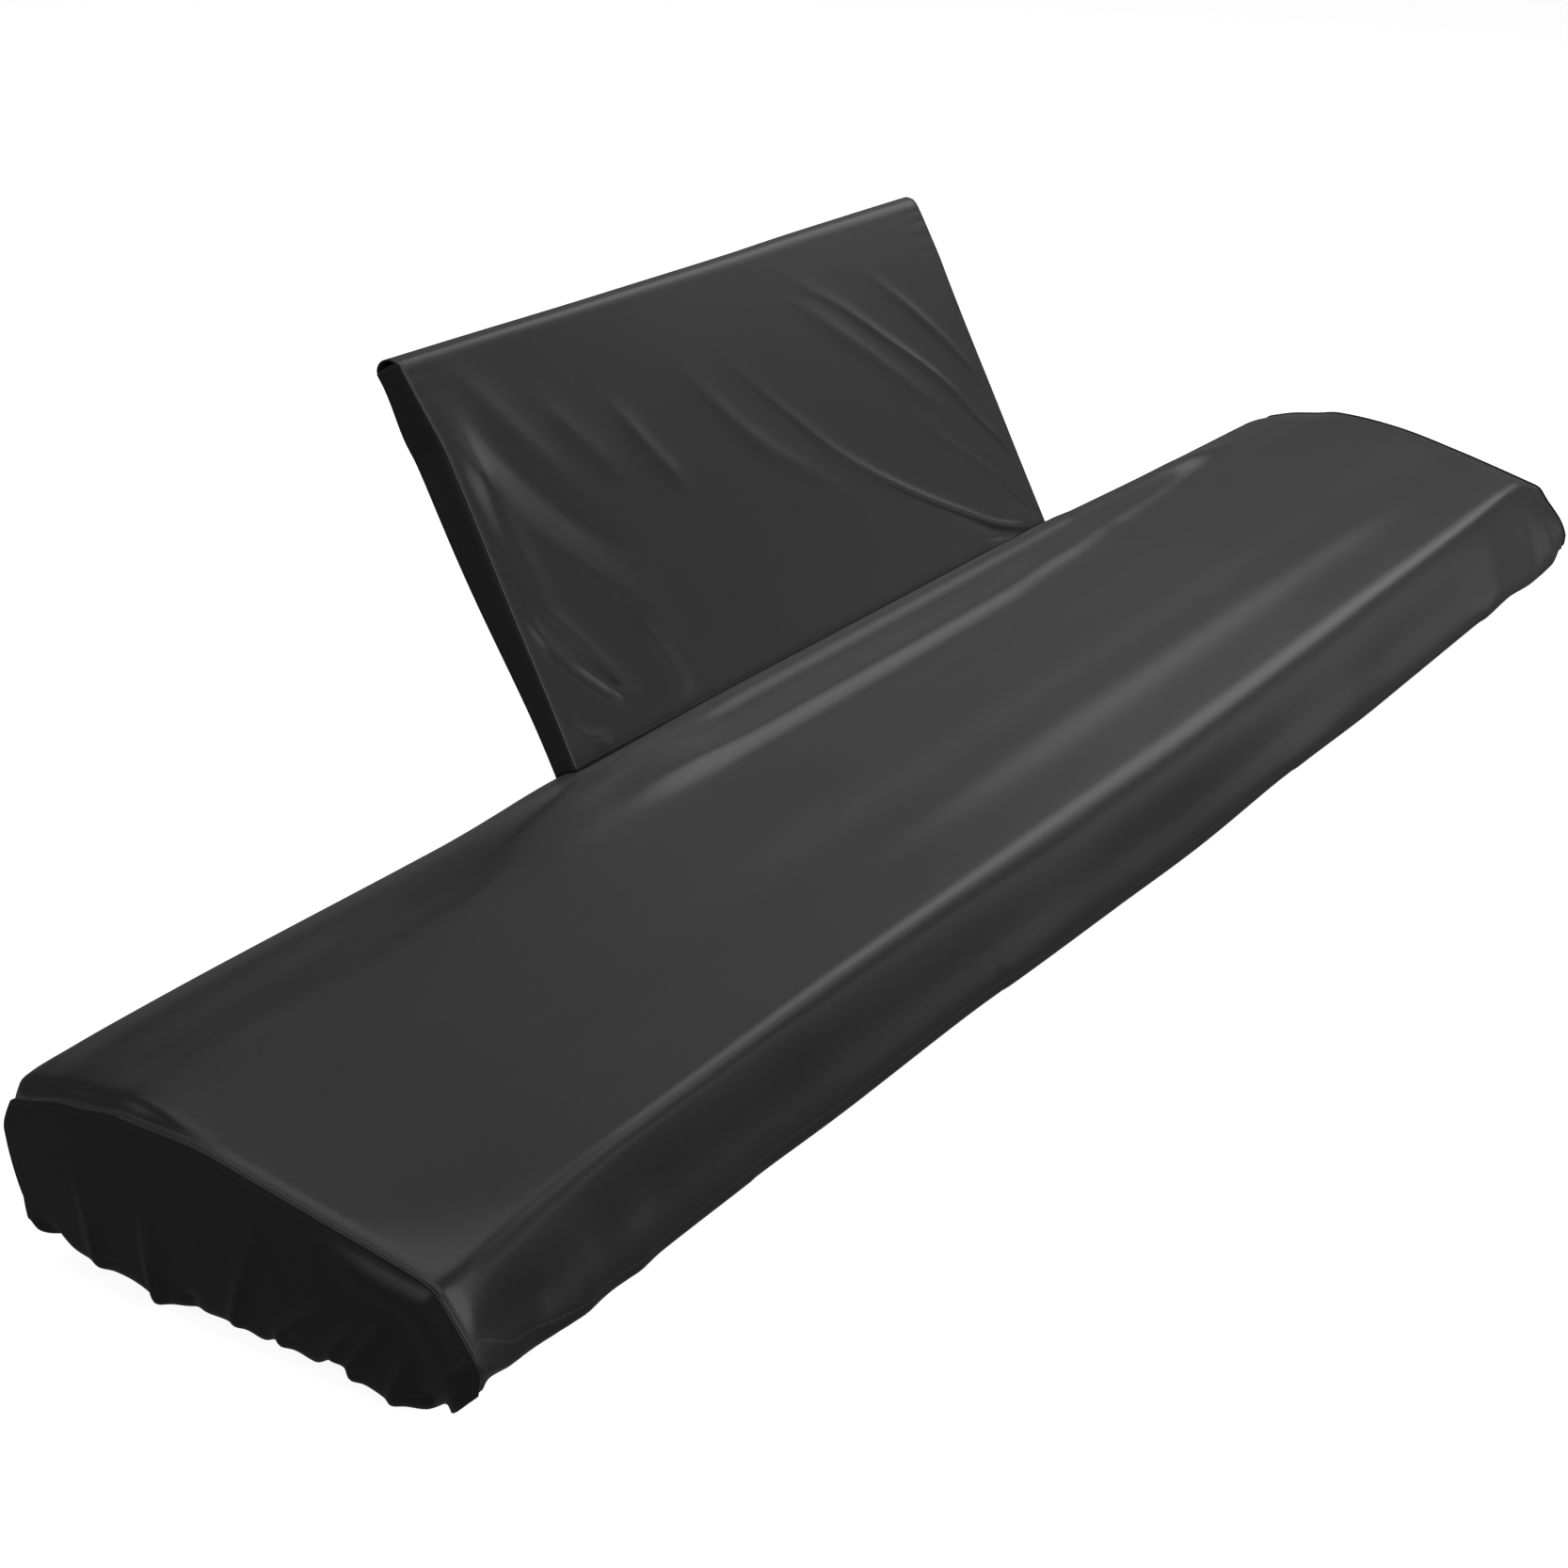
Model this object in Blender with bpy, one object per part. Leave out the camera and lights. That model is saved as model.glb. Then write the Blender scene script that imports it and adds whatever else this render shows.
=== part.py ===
"""Fitted cloth cover for a slim 88-key keyboard piano, with a sleeve over its music stand.

+X runs along the keyboard to its treble end, +Y to its back, +Z up. The tables are in millimetres,
with heights above the front corner of the hem. The empty "cover_place" carries every panel and puts
the origin under the middle of the top, where the keyboard holds the cloth up.
"""
import bpy
import bmesh
from collections import namedtuple
from math import cos, exp, hypot, pi, radians, sin
from mathutils import Vector

MM = 0.001
CLOTH = 1.5                 # thickness of every sheet
GAP = 0.3                   # between the edges of two sewn panels
SEAM_PROUD = 0.8            # how far an end panel's edge stands above the main panel
SIDE_EASE = 0.65            # added to the gap along the sleeve's side strips, whose edges curve
ORIGIN = (8.0, 16.0, 58.9)  # under the middle of the top

NEAR_X = -675.0             # the seam at the bass end
FAR_X = 690.0               # the seam at the treble end
HEM_TURN = 14.0             # cloth turned under along the hem
HEM_ROUND = 5.5             # radius of that turn
HEM_CURL = 4.0              # how far the turned edge curls up again
BULGE_Z = 38.0              # height at which the back fall stands out furthest
SLOPE_Y, SHOULDER_Y = -20.0, 30.0
HUMP_Y, TROUGH_Y, CREST_Y = 78.0, 97.0, 116.0
SLOT_FRONT_Y = 131.5        # where the round at the back passes the slot's front edge
CREST_FALL = 4.0            # and how far below the crest it is there
SLOT_ROUND = (1.0, 1.5)     # y and z by which that round stands out halfway across the slot
EDGE_UNDER = (0.55, 1.1)    # where the front edge starts and ends its turn, as shares of its roundness
EDGE_OVER = (1.2, 0.35)

# Cross-sections of the main panel, one row for each. The front: its hem, how much of the hem is tucked
# under, how far the fall bellies out, and the front edge with its roundness.
FrontLine = namedtuple("FrontLine", "x hem_y hem_z turned belly edge_y edge_z edge_r")
FRONT = [
    FrontLine(-675, -97, -1, 0, 1, -79.5, 42, 4),
    FrontLine(-650, -96.5, -4, 0.8, 0.5, -78.5, 43, 4),
    FrontLine(-615, -99, -6.5, 1, 0, -78, 45, 4.5),
    FrontLine(-550, -99.3, -6.5, 1, -1, -77, 48, 5),
    FrontLine(-400, -102, -7.5, 1, -1, -76.5, 49, 6),
    FrontLine(-290, -103.5, -9, 1, -1, -76.5, 48.5, 7),
    FrontLine(-100, -108.5, -10.5, 1, -1, -79, 46.5, 8),
    FrontLine(100, -112, -13, 1, -1, -79.5, 46, 8.5),
    FrontLine(275, -114.5, -15, 1, -1, -79, 46.5, 8.5),
    FrontLine(430, -116, -16, 1, -1, -79, 47, 8),
    FrontLine(560, -117.5, -16.5, 1, 0, -79, 47, 7.5),
    FrontLine(640, -117, -15, 0.9, 2, -79, 46, 6.5),
    FrontLine(690, -112, -10, 0, 8.5, -80.5, 41.5, 6),
]
# The top and the back: heights of the top at its named places, the round at the back, the back fall.
TopLine = namedtuple("TopLine", "x slope_z shoulder_z hump_z trough_z crest_z "
                                "rear_y rear_z bulge_y back_y back_z")
TOP = [
    TopLine(-675, 51, 61.5, 71.6, 69.6, 68.2, 144, 57, 149, 134, 0),
    TopLine(-650, 51.5, 61.8, 71.3, 70, 71, 143.5, 58.5, 148.5, 140, -4),
    TopLine(-615, 52, 62.2, 71.2, 71, 73, 143.5, 59, 149, 142, -7),
    TopLine(-550, 53, 62.8, 71.6, 72, 74, 143.5, 59, 149, 142, -8),
    TopLine(-400, 54, 63.6, 73, 73.4, 74.3, 144, 59, 149.5, 142, -9),
    TopLine(-290, 54, 63.4, 73.6, 72.9, 74.4, 145.5, 63.6, 150.5, 143, -9),
    TopLine(-100, 53.5, 63, 73.8, 72.2, 74.5, 145.5, 63.6, 150.5, 143, -9),
    TopLine(100, 53.5, 63, 73.8, 72, 74.5, 145.5, 63.6, 150.5, 143, -9),
    TopLine(275, 53.5, 63, 73.5, 71.8, 74.2, 145.5, 63.4, 150.5, 143, -10),
    TopLine(430, 53.3, 62.8, 73.2, 71.2, 72.2, 144, 57.5, 149.5, 142, -10),
    TopLine(560, 53, 62.6, 72.2, 70, 69.6, 143.5, 56, 148.5, 142, -11),
    TopLine(640, 52.6, 62.2, 70.8, 68.6, 67.4, 143, 54.5, 148, 141, -10),
    TopLine(690, 52, 62, 69.4, 66.6, 65, 143, 53, 148, 140, -6),
]

# How the main panel rolls over to each end seam: distance from the seam, share of the drop.
Roll = namedtuple("Roll", "inset drop")
NEAR_ROLL = [Roll(0, 1.0), Roll(3, 1.0), Roll(5.5, 0.55), Roll(9, 0.1), Roll(16, 0.0)]
FAR_ROLL = [Roll(0, 1.0), Roll(3, 1.0), Roll(11, 0.62), Roll(19, 0.25), Roll(30, 0.0)]
SEAM_FLAT = 3.0             # beside the end seams the section stays the same, so its rim is square
NEAR_DROP = (1.0, 7.0)      # in front of the hump, and from the hump to the back
FAR_DROP = (1.5, 2.8)

# Columns across the section: how many cells lie between one named place and the next.
PLACES = ["front_tip", "front_turn", "front_hem", "fall", "edge_low", "edge", "edge_top", "slope",
          "shoulder", "hump", "trough", "crest", "slot_front", "slot_mid", "slot_rear", "bulge",
          "back_hem", "back_turn", "back_tip"]
CELLS = [1, 2, 2, 2, 1, 1, 2, 2, 2, 2, 2, 2, 2, 2, 2, 2, 2, 1]
STATION_STEP = 34.0

# The sleeve leans back over the slot. across is its depth, up its height along the slope.
LEAN = radians(28.6)
SLEEVE_FOOT = (132.6, 70.9)     # y and z of its front foot
SLEEVE_DEPTH = 21.8
FOOT_DEPTH = 14.8               # its depth where it is sewn into the slot
SLOT = (-281.5, 267.5)          # x of the slot's ends
SLOT_SIDE = 9.0                 # width of the row of cells beside each end of the slot
SlotEdge = namedtuple("SlotEdge", "up left right")
SLEEVE_SIDES = [SlotEdge(0, -284.5, 270.0), SlotEdge(35, -283.8, 270.2), SlotEdge(95, -282.5, 271.2),
                SlotEdge(150, -280.0, 272.6), SlotEdge(178, -279.3, 274.0), SlotEdge(197, -281.5, 275.2),
                SlotEdge(222, -284.5, 274.8), SlotEdge(242, -287.0, 273.0)]
Foot = namedtuple("Foot", "depth up")     # the sleeve's foot line on the main panel, across its depth
Top = namedtuple("Top", "x up")
SLEEVE_TOP = [Top(-285, 234), Top(-215, 234.6), Top(-140, 235), Top(-50, 235.9), Top(40, 236.9),
              Top(110, 238.4), Top(180, 239.4), Top(276, 240.5)]
TOP_TURN = 8.5                  # radius of the turn over the top edge
TURN_ANGLE = radians(150)
TOP_DEPTH = 16.5                # depth of the sleeve just under its top edge
FOOT_REACH, TOP_REACH = 150.0, 48.0  # how far up and down from those places the depth changes
GUSSET_STOP = 3.5               # how far below the turn of the top edge a side strip ends
BACK_RIM = 0.08                 # share of the back's width beside each side that stays flat

# Soft ridges (height above 0) and hollows, each along a bent line of three places, with its width.
Fold = namedtuple("Fold", "start bend end height width")
STAND_FOLDS = [
    Fold((45, 236), (150, 172), (262, 55), 2.6, 9), Fold((60, 214), (160, 148), (262, 38), -1.8, 14),
    Fold((-38, 190), (70, 92), (238, 4), 2.8, 10), Fold((-62, 200), (0, 120), (90, 58), 1.6, 14),
    Fold((-20, 172), (90, 70), (236, -2), -1.6, 15), Fold((140, 92), (205, 52), (262, 10), 1.8, 9),
    Fold((-160, 205), (-130, 150), (-75, 95), 1.5, 18), Fold((-272, 185), (-266, 150), (-240, 95), 2.4, 13),
    Fold((-262, 62), (-246, 38), (-215, 12), 2.2, 10), Fold((-225, 150), (-205, 80), (-165, 10), -1.8, 20),
]
BACK_FOLDS = [
    Fold((-180, 200), (-40, 110), (90, 20), 1.6, 24), Fold((60, 210), (150, 120), (230, 30), -1.4, 26),
]
FALL_FOLDS = [                  # on the front fall, as x along it and height up it
    Fold((-668, -4), (-660, 14), (-655, 34), 1.8, 6), Fold((-640, -6), (-634, 12), (-628, 34), -1.6, 11),
    Fold((-612, -6), (-603, 14), (-596, 36), 2.0, 12), Fold((-575, -6), (-566, 12), (-548, 28), 1.4, 14),
    Fold((-480, -8), (-440, 14), (-400, 30), -1.2, 26), Fold((-250, -10), (-180, 10), (-90, 26), 1.2, 30),
    Fold((120, -12), (220, 6), (330, 24), 1.3, 30), Fold((480, -14), (520, 8), (560, 30), 1.4, 20),
    Fold((610, -12), (624, 8), (636, 30), -1.5, 11), Fold((650, -10), (656, 10), (658, 28), 1.8, 8),
]
TOP_FOLDS = [                   # on the top, as x along it and y across it
    Fold((-420, 74), (-350, 88), (-270, 92), 1.4, 14), Fold((-380, 14), (-160, -18), (60, -14), 1.0, 22),
    Fold((60, -12), (230, 8), (400, 26), 1.2, 20), Fold((-560, 100), (-480, 86), (-400, 62), -0.8, 14),
    Fold((-200, 48), (60, 52), (330, 70), -0.9, 18),
]

# The lowest line of each end panel, from the front corner to the back corner.
Dip = namedtuple("Dip", "y z")
NEAR_HEM = [Dip(-97, -1), Dip(-92, -6), Dip(-84, -14), Dip(-73, -19.5), Dip(-55, -20), Dip(-39, -16),
            Dip(-27, -10), Dip(-17, -15), Dip(1, -11), Dip(9, -14), Dip(21, -11.5), Dip(41, -13),
            Dip(61, -14.5), Dip(81, -11), Dip(102, -9.5), Dip(120, -7), Dip(131, -3.5), Dip(136, 0)]
FAR_HEM = [Dip(-112, -10), Dip(-100, -16), Dip(-78, -22), Dip(-52, -19), Dip(-34, -22), Dip(-10, -18),
           Dip(14, -21), Dip(42, -17), Dip(72, -18.5), Dip(100, -14), Dip(124, -11), Dip(140, -6)]
END_BULGE = 3.0                 # how far an end panel stands out at its middle
BULGE_TURN = radians(112)       # share of a half wave from its seam to its hem
CORNER_SHARE = 0.12             # share of the panel's width in which its hem goes from hanging to tucked
CORNER_FLAT = 0.02              # share of it where the hem only hangs, clear of the main panel's hem
HEM_RISE = 7.0                  # from the lowest line of a tucked hem up to where it starts to turn
HEM_ROWS = 2                    # rows of cells below that
# Gathers of the end panels, as y and height, starting at the hem and dying out upwards.
NEAR_FOLDS = [
    Fold((96, -16), (100, 16), (111, 48), 2.4, 7), Fold((60, -20), (64, 6), (70, 36), 4.2, 6),
    Fold((24, -16), (17, 10), (8, 44), 2.6, 6), Fold((8, -16), (-12, 4), (-34, 19), 3.6, 5),
    Fold((-18, -18), (-31, 0), (-46, 15), 3.4, 5), Fold((-32, -18), (-45, 4), (-63, 26), 3.2, 5),
    Fold((-54, -22), (-60, -6), (-68, 12), 3.2, 5), Fold((-84, -14), (-88, 0), (-92, 16), 2.4, 4),
    Fold((44, -14), (46, -8), (48, 0), -4.0, 8), Fold((-74, -17), (-74, -10), (-74, -3), -4.5, 8),
]
FAR_FOLDS = [
    Fold((100, -16), (98, 14), (92, 44), 2.6, 7), Fold((66, -22), (60, 4), (50, 34), 3.6, 7),
    Fold((34, -22), (30, 2), (22, 30), 2.8, 6), Fold((2, -22), (-4, 4), (-14, 30), 3.4, 6),
    Fold((-26, -24), (-32, 0), (-44, 24), 3.0, 6), Fold((-60, -24), (-64, -2), (-70, 22), 3.2, 6),
    Fold((-88, -20), (-90, -4), (-94, 16), 2.4, 5), Fold((48, -16), (48, -8), (48, 2), -3.5, 9),
]
COLOURS = {"top": (0.028, 0.027, 0.029), "end": (0.020, 0.019, 0.021), "sleeve": (0.026, 0.025, 0.027)}


def along(rows, name, at):
    """A column of a table at a place between its rows, smooth and never past the rows' values."""
    places = [row[0] for row in rows]
    values = [getattr(row, name) for row in rows]
    at = min(max(at, places[0]), places[-1])
    k = max(i for i in range(len(places) - 1) if places[i] <= at)
    rise = [(values[i + 1] - values[i]) / (places[i + 1] - places[i]) for i in range(len(places) - 1)]

    def tangent(i):
        if i == 0 or i == len(places) - 1:
            return rise[min(i, len(rise) - 1)]
        before, after = rise[i - 1], rise[i]
        return 0.0 if before * after <= 0 else 2 * before * after / (before + after)

    span = places[k + 1] - places[k]
    t = (at - places[k]) / span
    return (values[k] * (1 + 2 * t) * (1 - t) ** 2 + values[k + 1] * t * t * (3 - 2 * t)
            + span * (tangent(k) * t * (1 - t) ** 2 - tangent(k + 1) * t * t * (1 - t)))


def mix(a, b, t):
    return tuple(p + (q - p) * t for p, q in zip(a, b))


def ease(low, high, value):
    """0 below low, 1 above high, smooth between."""
    t = min(max((value - low) / (high - low), 0.0), 1.0)
    return t * t * (3 - 2 * t)


def spline(points, cells):
    """A smooth line through the points, cut into the number of cells stated for each stretch."""
    line = []
    for i, count in enumerate(cells):
        p1, p2 = points[i], points[i + 1]
        before = points[i - 1] if i else p1
        after = points[i + 2] if i + 2 < len(points) else p2
        span = hypot(p2[0] - p1[0], p2[1] - p1[1])
        left = hypot(p1[0] - before[0], p1[1] - before[1]) or span
        right = hypot(after[0] - p2[0], after[1] - p2[1]) or span
        out = [(q - p) * span / (left + span) for p, q in zip(before, p2)]
        into = [(q - p) * span / (right + span) for p, q in zip(p1, after)]
        for step in range(count):
            t = step / count
            line.append(tuple(a * (1 + 2 * t) * (1 - t) ** 2 + b * t * t * (3 - 2 * t)
                              + m * t * (1 - t) ** 2 - n * t * t * (1 - t)
                              for a, b, m, n in zip(p1, p2, out, into)))
    return line + [points[-1]]


def fold_height(folds, a, b):
    """Height of all folds at a place of a panel: a bell across each fold, dying out at its ends."""
    total = 0.0
    for fold in folds:
        best = (1e9, 0.0)
        for step in range(13):
            t = step / 12
            p = mix(mix(fold.start, fold.bend, t), mix(fold.bend, fold.end, t), t)
            best = min(best, (hypot(a - p[0], b - p[1]), t))
        total += fold.height * exp(-(best[0] / fold.width) ** 2) * (1 - 0.7 * best[1] ** 2)
    return total


def hem_points(tip, inward, turned):
    """Tip, turn and rise of a hem, blended between hanging straight and tucked under."""
    y, z = tip
    straight = [(y, z), (y, z + HEM_ROUND), (y, z + 2 * HEM_ROUND)]
    tucked = [(y + inward * HEM_TURN, z + HEM_CURL), (y + inward * HEM_ROUND, z), (y, z + HEM_ROUND)]
    return [mix(a, b, turned) for a, b in zip(straight, tucked)]


def section(x):
    """The main panel's outer line at x, from the front hem over the top to the back hem."""
    f = FrontLine(*[along(FRONT, name, x) for name in FrontLine._fields])
    t = TopLine(*[along(TOP, name, x) for name in TopLine._fields])
    front = hem_points((f.hem_y, f.hem_z), 1, f.turned)
    back = hem_points((t.back_y, t.back_z), -1, f.turned)
    low = (f.edge_y - EDGE_UNDER[0] * f.edge_r, f.edge_z - EDGE_UNDER[1] * f.edge_r)
    fall = mix(front[2], low, 0.5)
    edge_top = (f.edge_y + EDGE_OVER[0] * f.edge_r, f.edge_z + EDGE_OVER[1] * f.edge_r)
    slot_front = (SLOT_FRONT_Y, t.crest_z - CREST_FALL)
    slot_rear = (t.rear_y, t.rear_z)
    slot_mid = mix(slot_front, slot_rear, 0.5)
    corners = front + [(fall[0] - f.belly, fall[1]), low, (f.edge_y, f.edge_z), edge_top,
                       (SLOPE_Y, t.slope_z), (SHOULDER_Y, t.shoulder_z), (HUMP_Y, t.hump_z),
                       (TROUGH_Y, t.trough_z), (CREST_Y, t.crest_z), slot_front,
                       (slot_mid[0] + SLOT_ROUND[0], slot_mid[1] + SLOT_ROUND[1]), slot_rear,
                       (t.bulge_y, BULGE_Z)] + back[::-1]
    return spline(corners, CELLS)


def column(place):
    """Number of the column that lies on a named place of the section."""
    return sum(CELLS[:PLACES.index(place)])


def outward(line, k):
    """Unit normal of a section line, pointing out of the cover."""
    before, after = line[max(k - 1, 0)], line[min(k + 1, len(line) - 1)]
    dy, dz = after[0] - before[0], after[1] - before[1]
    size = hypot(dy, dz)
    return -dz / size, dy / size


def stations():
    """Places along X of the main panel's rows: rolls at the ends, the slot's ends, even steps between."""
    near = [NEAR_X + roll.inset for roll in NEAR_ROLL]
    far = [FAR_X - roll.inset for roll in reversed(FAR_ROLL)]
    stops = [near[-1], SLOT[0] - SLOT_SIDE, SLOT[0], SLOT[1], SLOT[1] + SLOT_SIDE, far[0]]
    middle = []
    for start, stop in zip(stops, stops[1:]):
        count = max(round((stop - start) / STATION_STEP), 1)
        middle += [start + (stop - start) * i / count for i in range(count)]
    return near[:-1] + middle + far


def end_drop(x, k):
    """How far the cloth has sunk towards the end seam, at column k."""
    above_hem = 1 - ease(column("bulge"), column("back_hem"), k)
    front = ease(column("front_hem"), column("edge_low"), k) * above_hem
    back = ease(column("shoulder"), column("hump"), k) * above_hem
    for place, side, rolls, drop in ((NEAR_X, 1, NEAR_ROLL, NEAR_DROP), (FAR_X, -1, FAR_ROLL, FAR_DROP)):
        inset = (x - place) * side
        if inset < rolls[-1].inset:
            deep = drop[0] * front + (drop[1] - drop[0]) * back
            return deep * along(rolls, "drop", inset)
    return 0.0


def main_point(x, line, k):
    """A point of the main panel, with its end roll and its folds."""
    y, z = line[k]
    ny, nz = outward(line, k)
    from_rim = min(x - NEAR_X, FAR_X - x) - SEAM_FLAT
    lift = -end_drop(x, k)
    if column("front_hem") <= k < column("edge_low"):
        lift += fold_height(FALL_FOLDS, x, z) * ease(0, 10, from_rim)
    if column("edge_top") < k <= column("crest"):
        lift += fold_height(TOP_FOLDS, x, y) * ease(0, 38, from_rim)
    return x, y + ny * lift, z + nz * lift


def main_rows():
    rows = []
    for x in stations():
        line = section(min(max(x, NEAR_X + SEAM_FLAT), FAR_X - SEAM_FLAT))
        rows.append([main_point(x, line, k) for k in range(len(line))])
    return rows


def resample(line, count):
    """The line cut again into count even cells."""
    lengths = [0.0]
    for a, b in zip(line, line[1:]):
        lengths.append(lengths[-1] + hypot(b[0] - a[0], b[1] - a[1]))
    out, k = [], 0
    for i in range(count + 1):
        want = lengths[-1] * i / count
        while k < len(line) - 2 and lengths[k + 1] < want:
            k += 1
        out.append(mix(line[k], line[k + 1], (want - lengths[k]) / (lengths[k + 1] - lengths[k])))
    return out


def seam_edges(seam, across, down):
    """The sewn edge of an end panel, cut into its front, top and back; front and back end in the hem."""
    proud = []
    for k, (y, z) in enumerate(seam):
        ny, nz = outward(seam, k)
        proud.append((y + ny * SEAM_PROUD, z + nz * SEAM_PROUD))
    first, last = column("edge"), column("slot_rear")
    low, high = column("front_hem"), column("back_hem")
    front = resample(proud[low:first + 1][::-1], down) + resample(proud[:low + 1][::-1], HEM_ROWS)[1:]
    back = resample(proud[last:high + 1], down) + resample(proud[high:], HEM_ROWS)[1:]
    return front, resample(proud[first:last + 1], across), back


def end_rows(seam, dips, folds, x_seam, side, across=46, down=8):
    """An end panel: a patch between its sewn edge and the gathered hem, which is turned under."""
    front, top, back = seam_edges(seam, across, down)
    rows = [[] for _ in front]
    for i in range(across + 1):
        u = i / across
        turned = ease(CORNER_FLAT, CORNER_SHARE, u) * ease(CORNER_FLAT, CORNER_SHARE, 1 - u)
        low_y, low_z = mix(front[down], back[down], u)
        tip_y = mix(front[-1], back[-1], u)[0]
        tip_z = along(dips, "z", tip_y)
        hem = (low_y, low_z + (tip_z + HEM_RISE - low_z) * turned)
        stand_out = GAP + CLOTH
        for j in range(down + 1):
            v = j / down
            sides = mix(front[j], back[j], u)
            corners = mix(mix(top[0], top[-1], u), (low_y, low_z), v)
            y, z = (a + b - c for a, b, c in zip(sides, mix(top[i], hem, v), corners))
            rim = ease(0, 0.15, v) * ease(0, CORNER_SHARE / 2, u) * ease(0, CORNER_SHARE / 2, 1 - u)
            bulge = END_BULGE * 4 * u * (1 - u) * sin(BULGE_TURN * v)
            stand_out = GAP + CLOTH + bulge + fold_height(folds, y, z) * rim
            rows[j].append((x_seam + side * stand_out, y, z))
        hang = mix(front[down + 1], back[down + 1], u)
        turn = mix((stand_out, *hang), (stand_out - HEM_CURL, tip_y, tip_z), turned)
        tip = mix((stand_out, tip_y, tip_z), (stand_out - HEM_TURN, tip_y, tip_z + HEM_CURL), turned)
        for row, (x, y, z) in zip(rows[down + 1:], (turn, tip)):
            row.append((x_seam + side * x, y, z))
    return rows


def sleeve_point(x, up, across):
    """A place in the sleeve, up its slope and across its depth, in the cover's frame."""
    y, z = SLEEVE_FOOT
    return x, y + up * sin(LEAN) + across * cos(LEAN), z + up * cos(LEAN) - across * sin(LEAN)


def depth_at(up, top):
    """Depth of the sleeve, drawn in at its foot and under the turn of its top edge."""
    foot = (FOOT_DEPTH - SLEEVE_DEPTH) * (1 - ease(0, FOOT_REACH, up))
    return SLEEVE_DEPTH + foot + (TOP_DEPTH - SLEEVE_DEPTH) * ease(top - TOP_REACH, top - TOP_TURN, up)


def stand_front_rows(wide=34, high=15, turn=4):
    rows = []
    for j in range(high + turn + 1):
        row = []
        for i in range(wide + 1):
            u = i / wide
            middle = SLEEVE_SIDES[0].left + (SLEEVE_SIDES[0].right - SLEEVE_SIDES[0].left) * u
            top = along(SLEEVE_TOP, "up", middle)
            if j <= high:
                up, across = (top - TOP_TURN) * j / high, 0.0
            else:
                angle = TURN_ANGLE * (j - high) / turn
                up, across = top - TOP_TURN + TOP_TURN * sin(angle), TOP_TURN * (1 - cos(angle))
            left, right = (along(SLEEVE_SIDES, name, up) for name in ("left", "right"))
            x = left + (right - left) * u
            rim = ease(0, 0.03, u) * ease(0, 0.03, 1 - u) * ease(0, 8, up) * ease(0, 14, top - up)
            row.append(sleeve_point(x, up, across - fold_height(STAND_FOLDS, x, up) * rim))
        rows.append(row)
    return rows


def back_surface(x, up, wide_share):
    """Depth of the sleeve's back at a place, with its folds."""
    top = along(SLEEVE_TOP, "up", x)
    sides = ease(0, BACK_RIM, wide_share) * ease(0, BACK_RIM, 1 - wide_share)
    ends = ease(0, 12, up) * ease(6, 20, top - up)
    return depth_at(up, top) + fold_height(BACK_FOLDS, x, up) * sides * ends


def stand_back_rows(wide=17, high=9):
    rows = []
    start = 2 * GAP
    for j in range(high + 1):
        row = []
        for i in range(wide + 1):
            u = i / wide
            middle = SLEEVE_SIDES[0].left + (SLEEVE_SIDES[0].right - SLEEVE_SIDES[0].left) * u
            edge = along(SLEEVE_TOP, "up", middle) - TOP_TURN + (TOP_TURN - CLOTH) * sin(TURN_ANGLE)
            stop = edge - 1.5 * GAP
            up = start + (stop - start) * j / high
            left, right = (along(SLEEVE_SIDES, name, up) for name in ("left", "right"))
            x = left + (right - left) * u
            row.append(sleeve_point(x, up, back_surface(x, up, u)))
        rows.append(row)
    return rows


def foot_line(x):
    """The main panel's surface beside the slot, as depth and height in the sleeve, raised by the gap."""
    line = section(x)
    foot = []
    for k in range(column("slot_front") - 1, column("slot_rear") + 2):
        ny, nz = outward(line, k)
        y, z = line[k][0] + ny * GAP - SLEEVE_FOOT[0], line[k][1] + nz * GAP - SLEEVE_FOOT[1]
        foot.append(Foot(y * cos(LEAN) - z * sin(LEAN), y * sin(LEAN) + z * cos(LEAN)))
    return foot


def gusset_rows(side, high=14, deep=4):
    """A side strip between the sleeve's front and back, standing on the main panel."""
    name = "left" if side < 0 else "right"
    foot = foot_line(getattr(SLEEVE_SIDES[0], name))
    top = along(SLEEVE_TOP, "up", getattr(SLEEVE_SIDES[-1], name))
    inner = CLOTH + GAP + SIDE_EASE
    rows = []
    for j in range(high + 1):
        row = []
        for k in range(deep + 1):
            start = along(foot, "up", inner + (FOOT_DEPTH - 2 * inner) * k / deep)
            up = start + (top - TOP_TURN - GUSSET_STOP - start) * j / high
            depth = inner + (depth_at(up, top) - 2 * inner) * k / deep
            row.append(sleeve_point(along(SLEEVE_SIDES, name, max(up, 0.0)), up, depth))
        rows.append(row)
    return rows


def cloth_material(name, colour):
    material = bpy.data.materials.new(name)
    material.use_nodes = True
    shader = material.node_tree.nodes["Principled BSDF"]
    shader.inputs["Base Color"].default_value = (*colour, 1)
    shader.inputs["Roughness"].default_value = 0.45
    shader.inputs["Metallic"].default_value = 0.0
    return material


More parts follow.
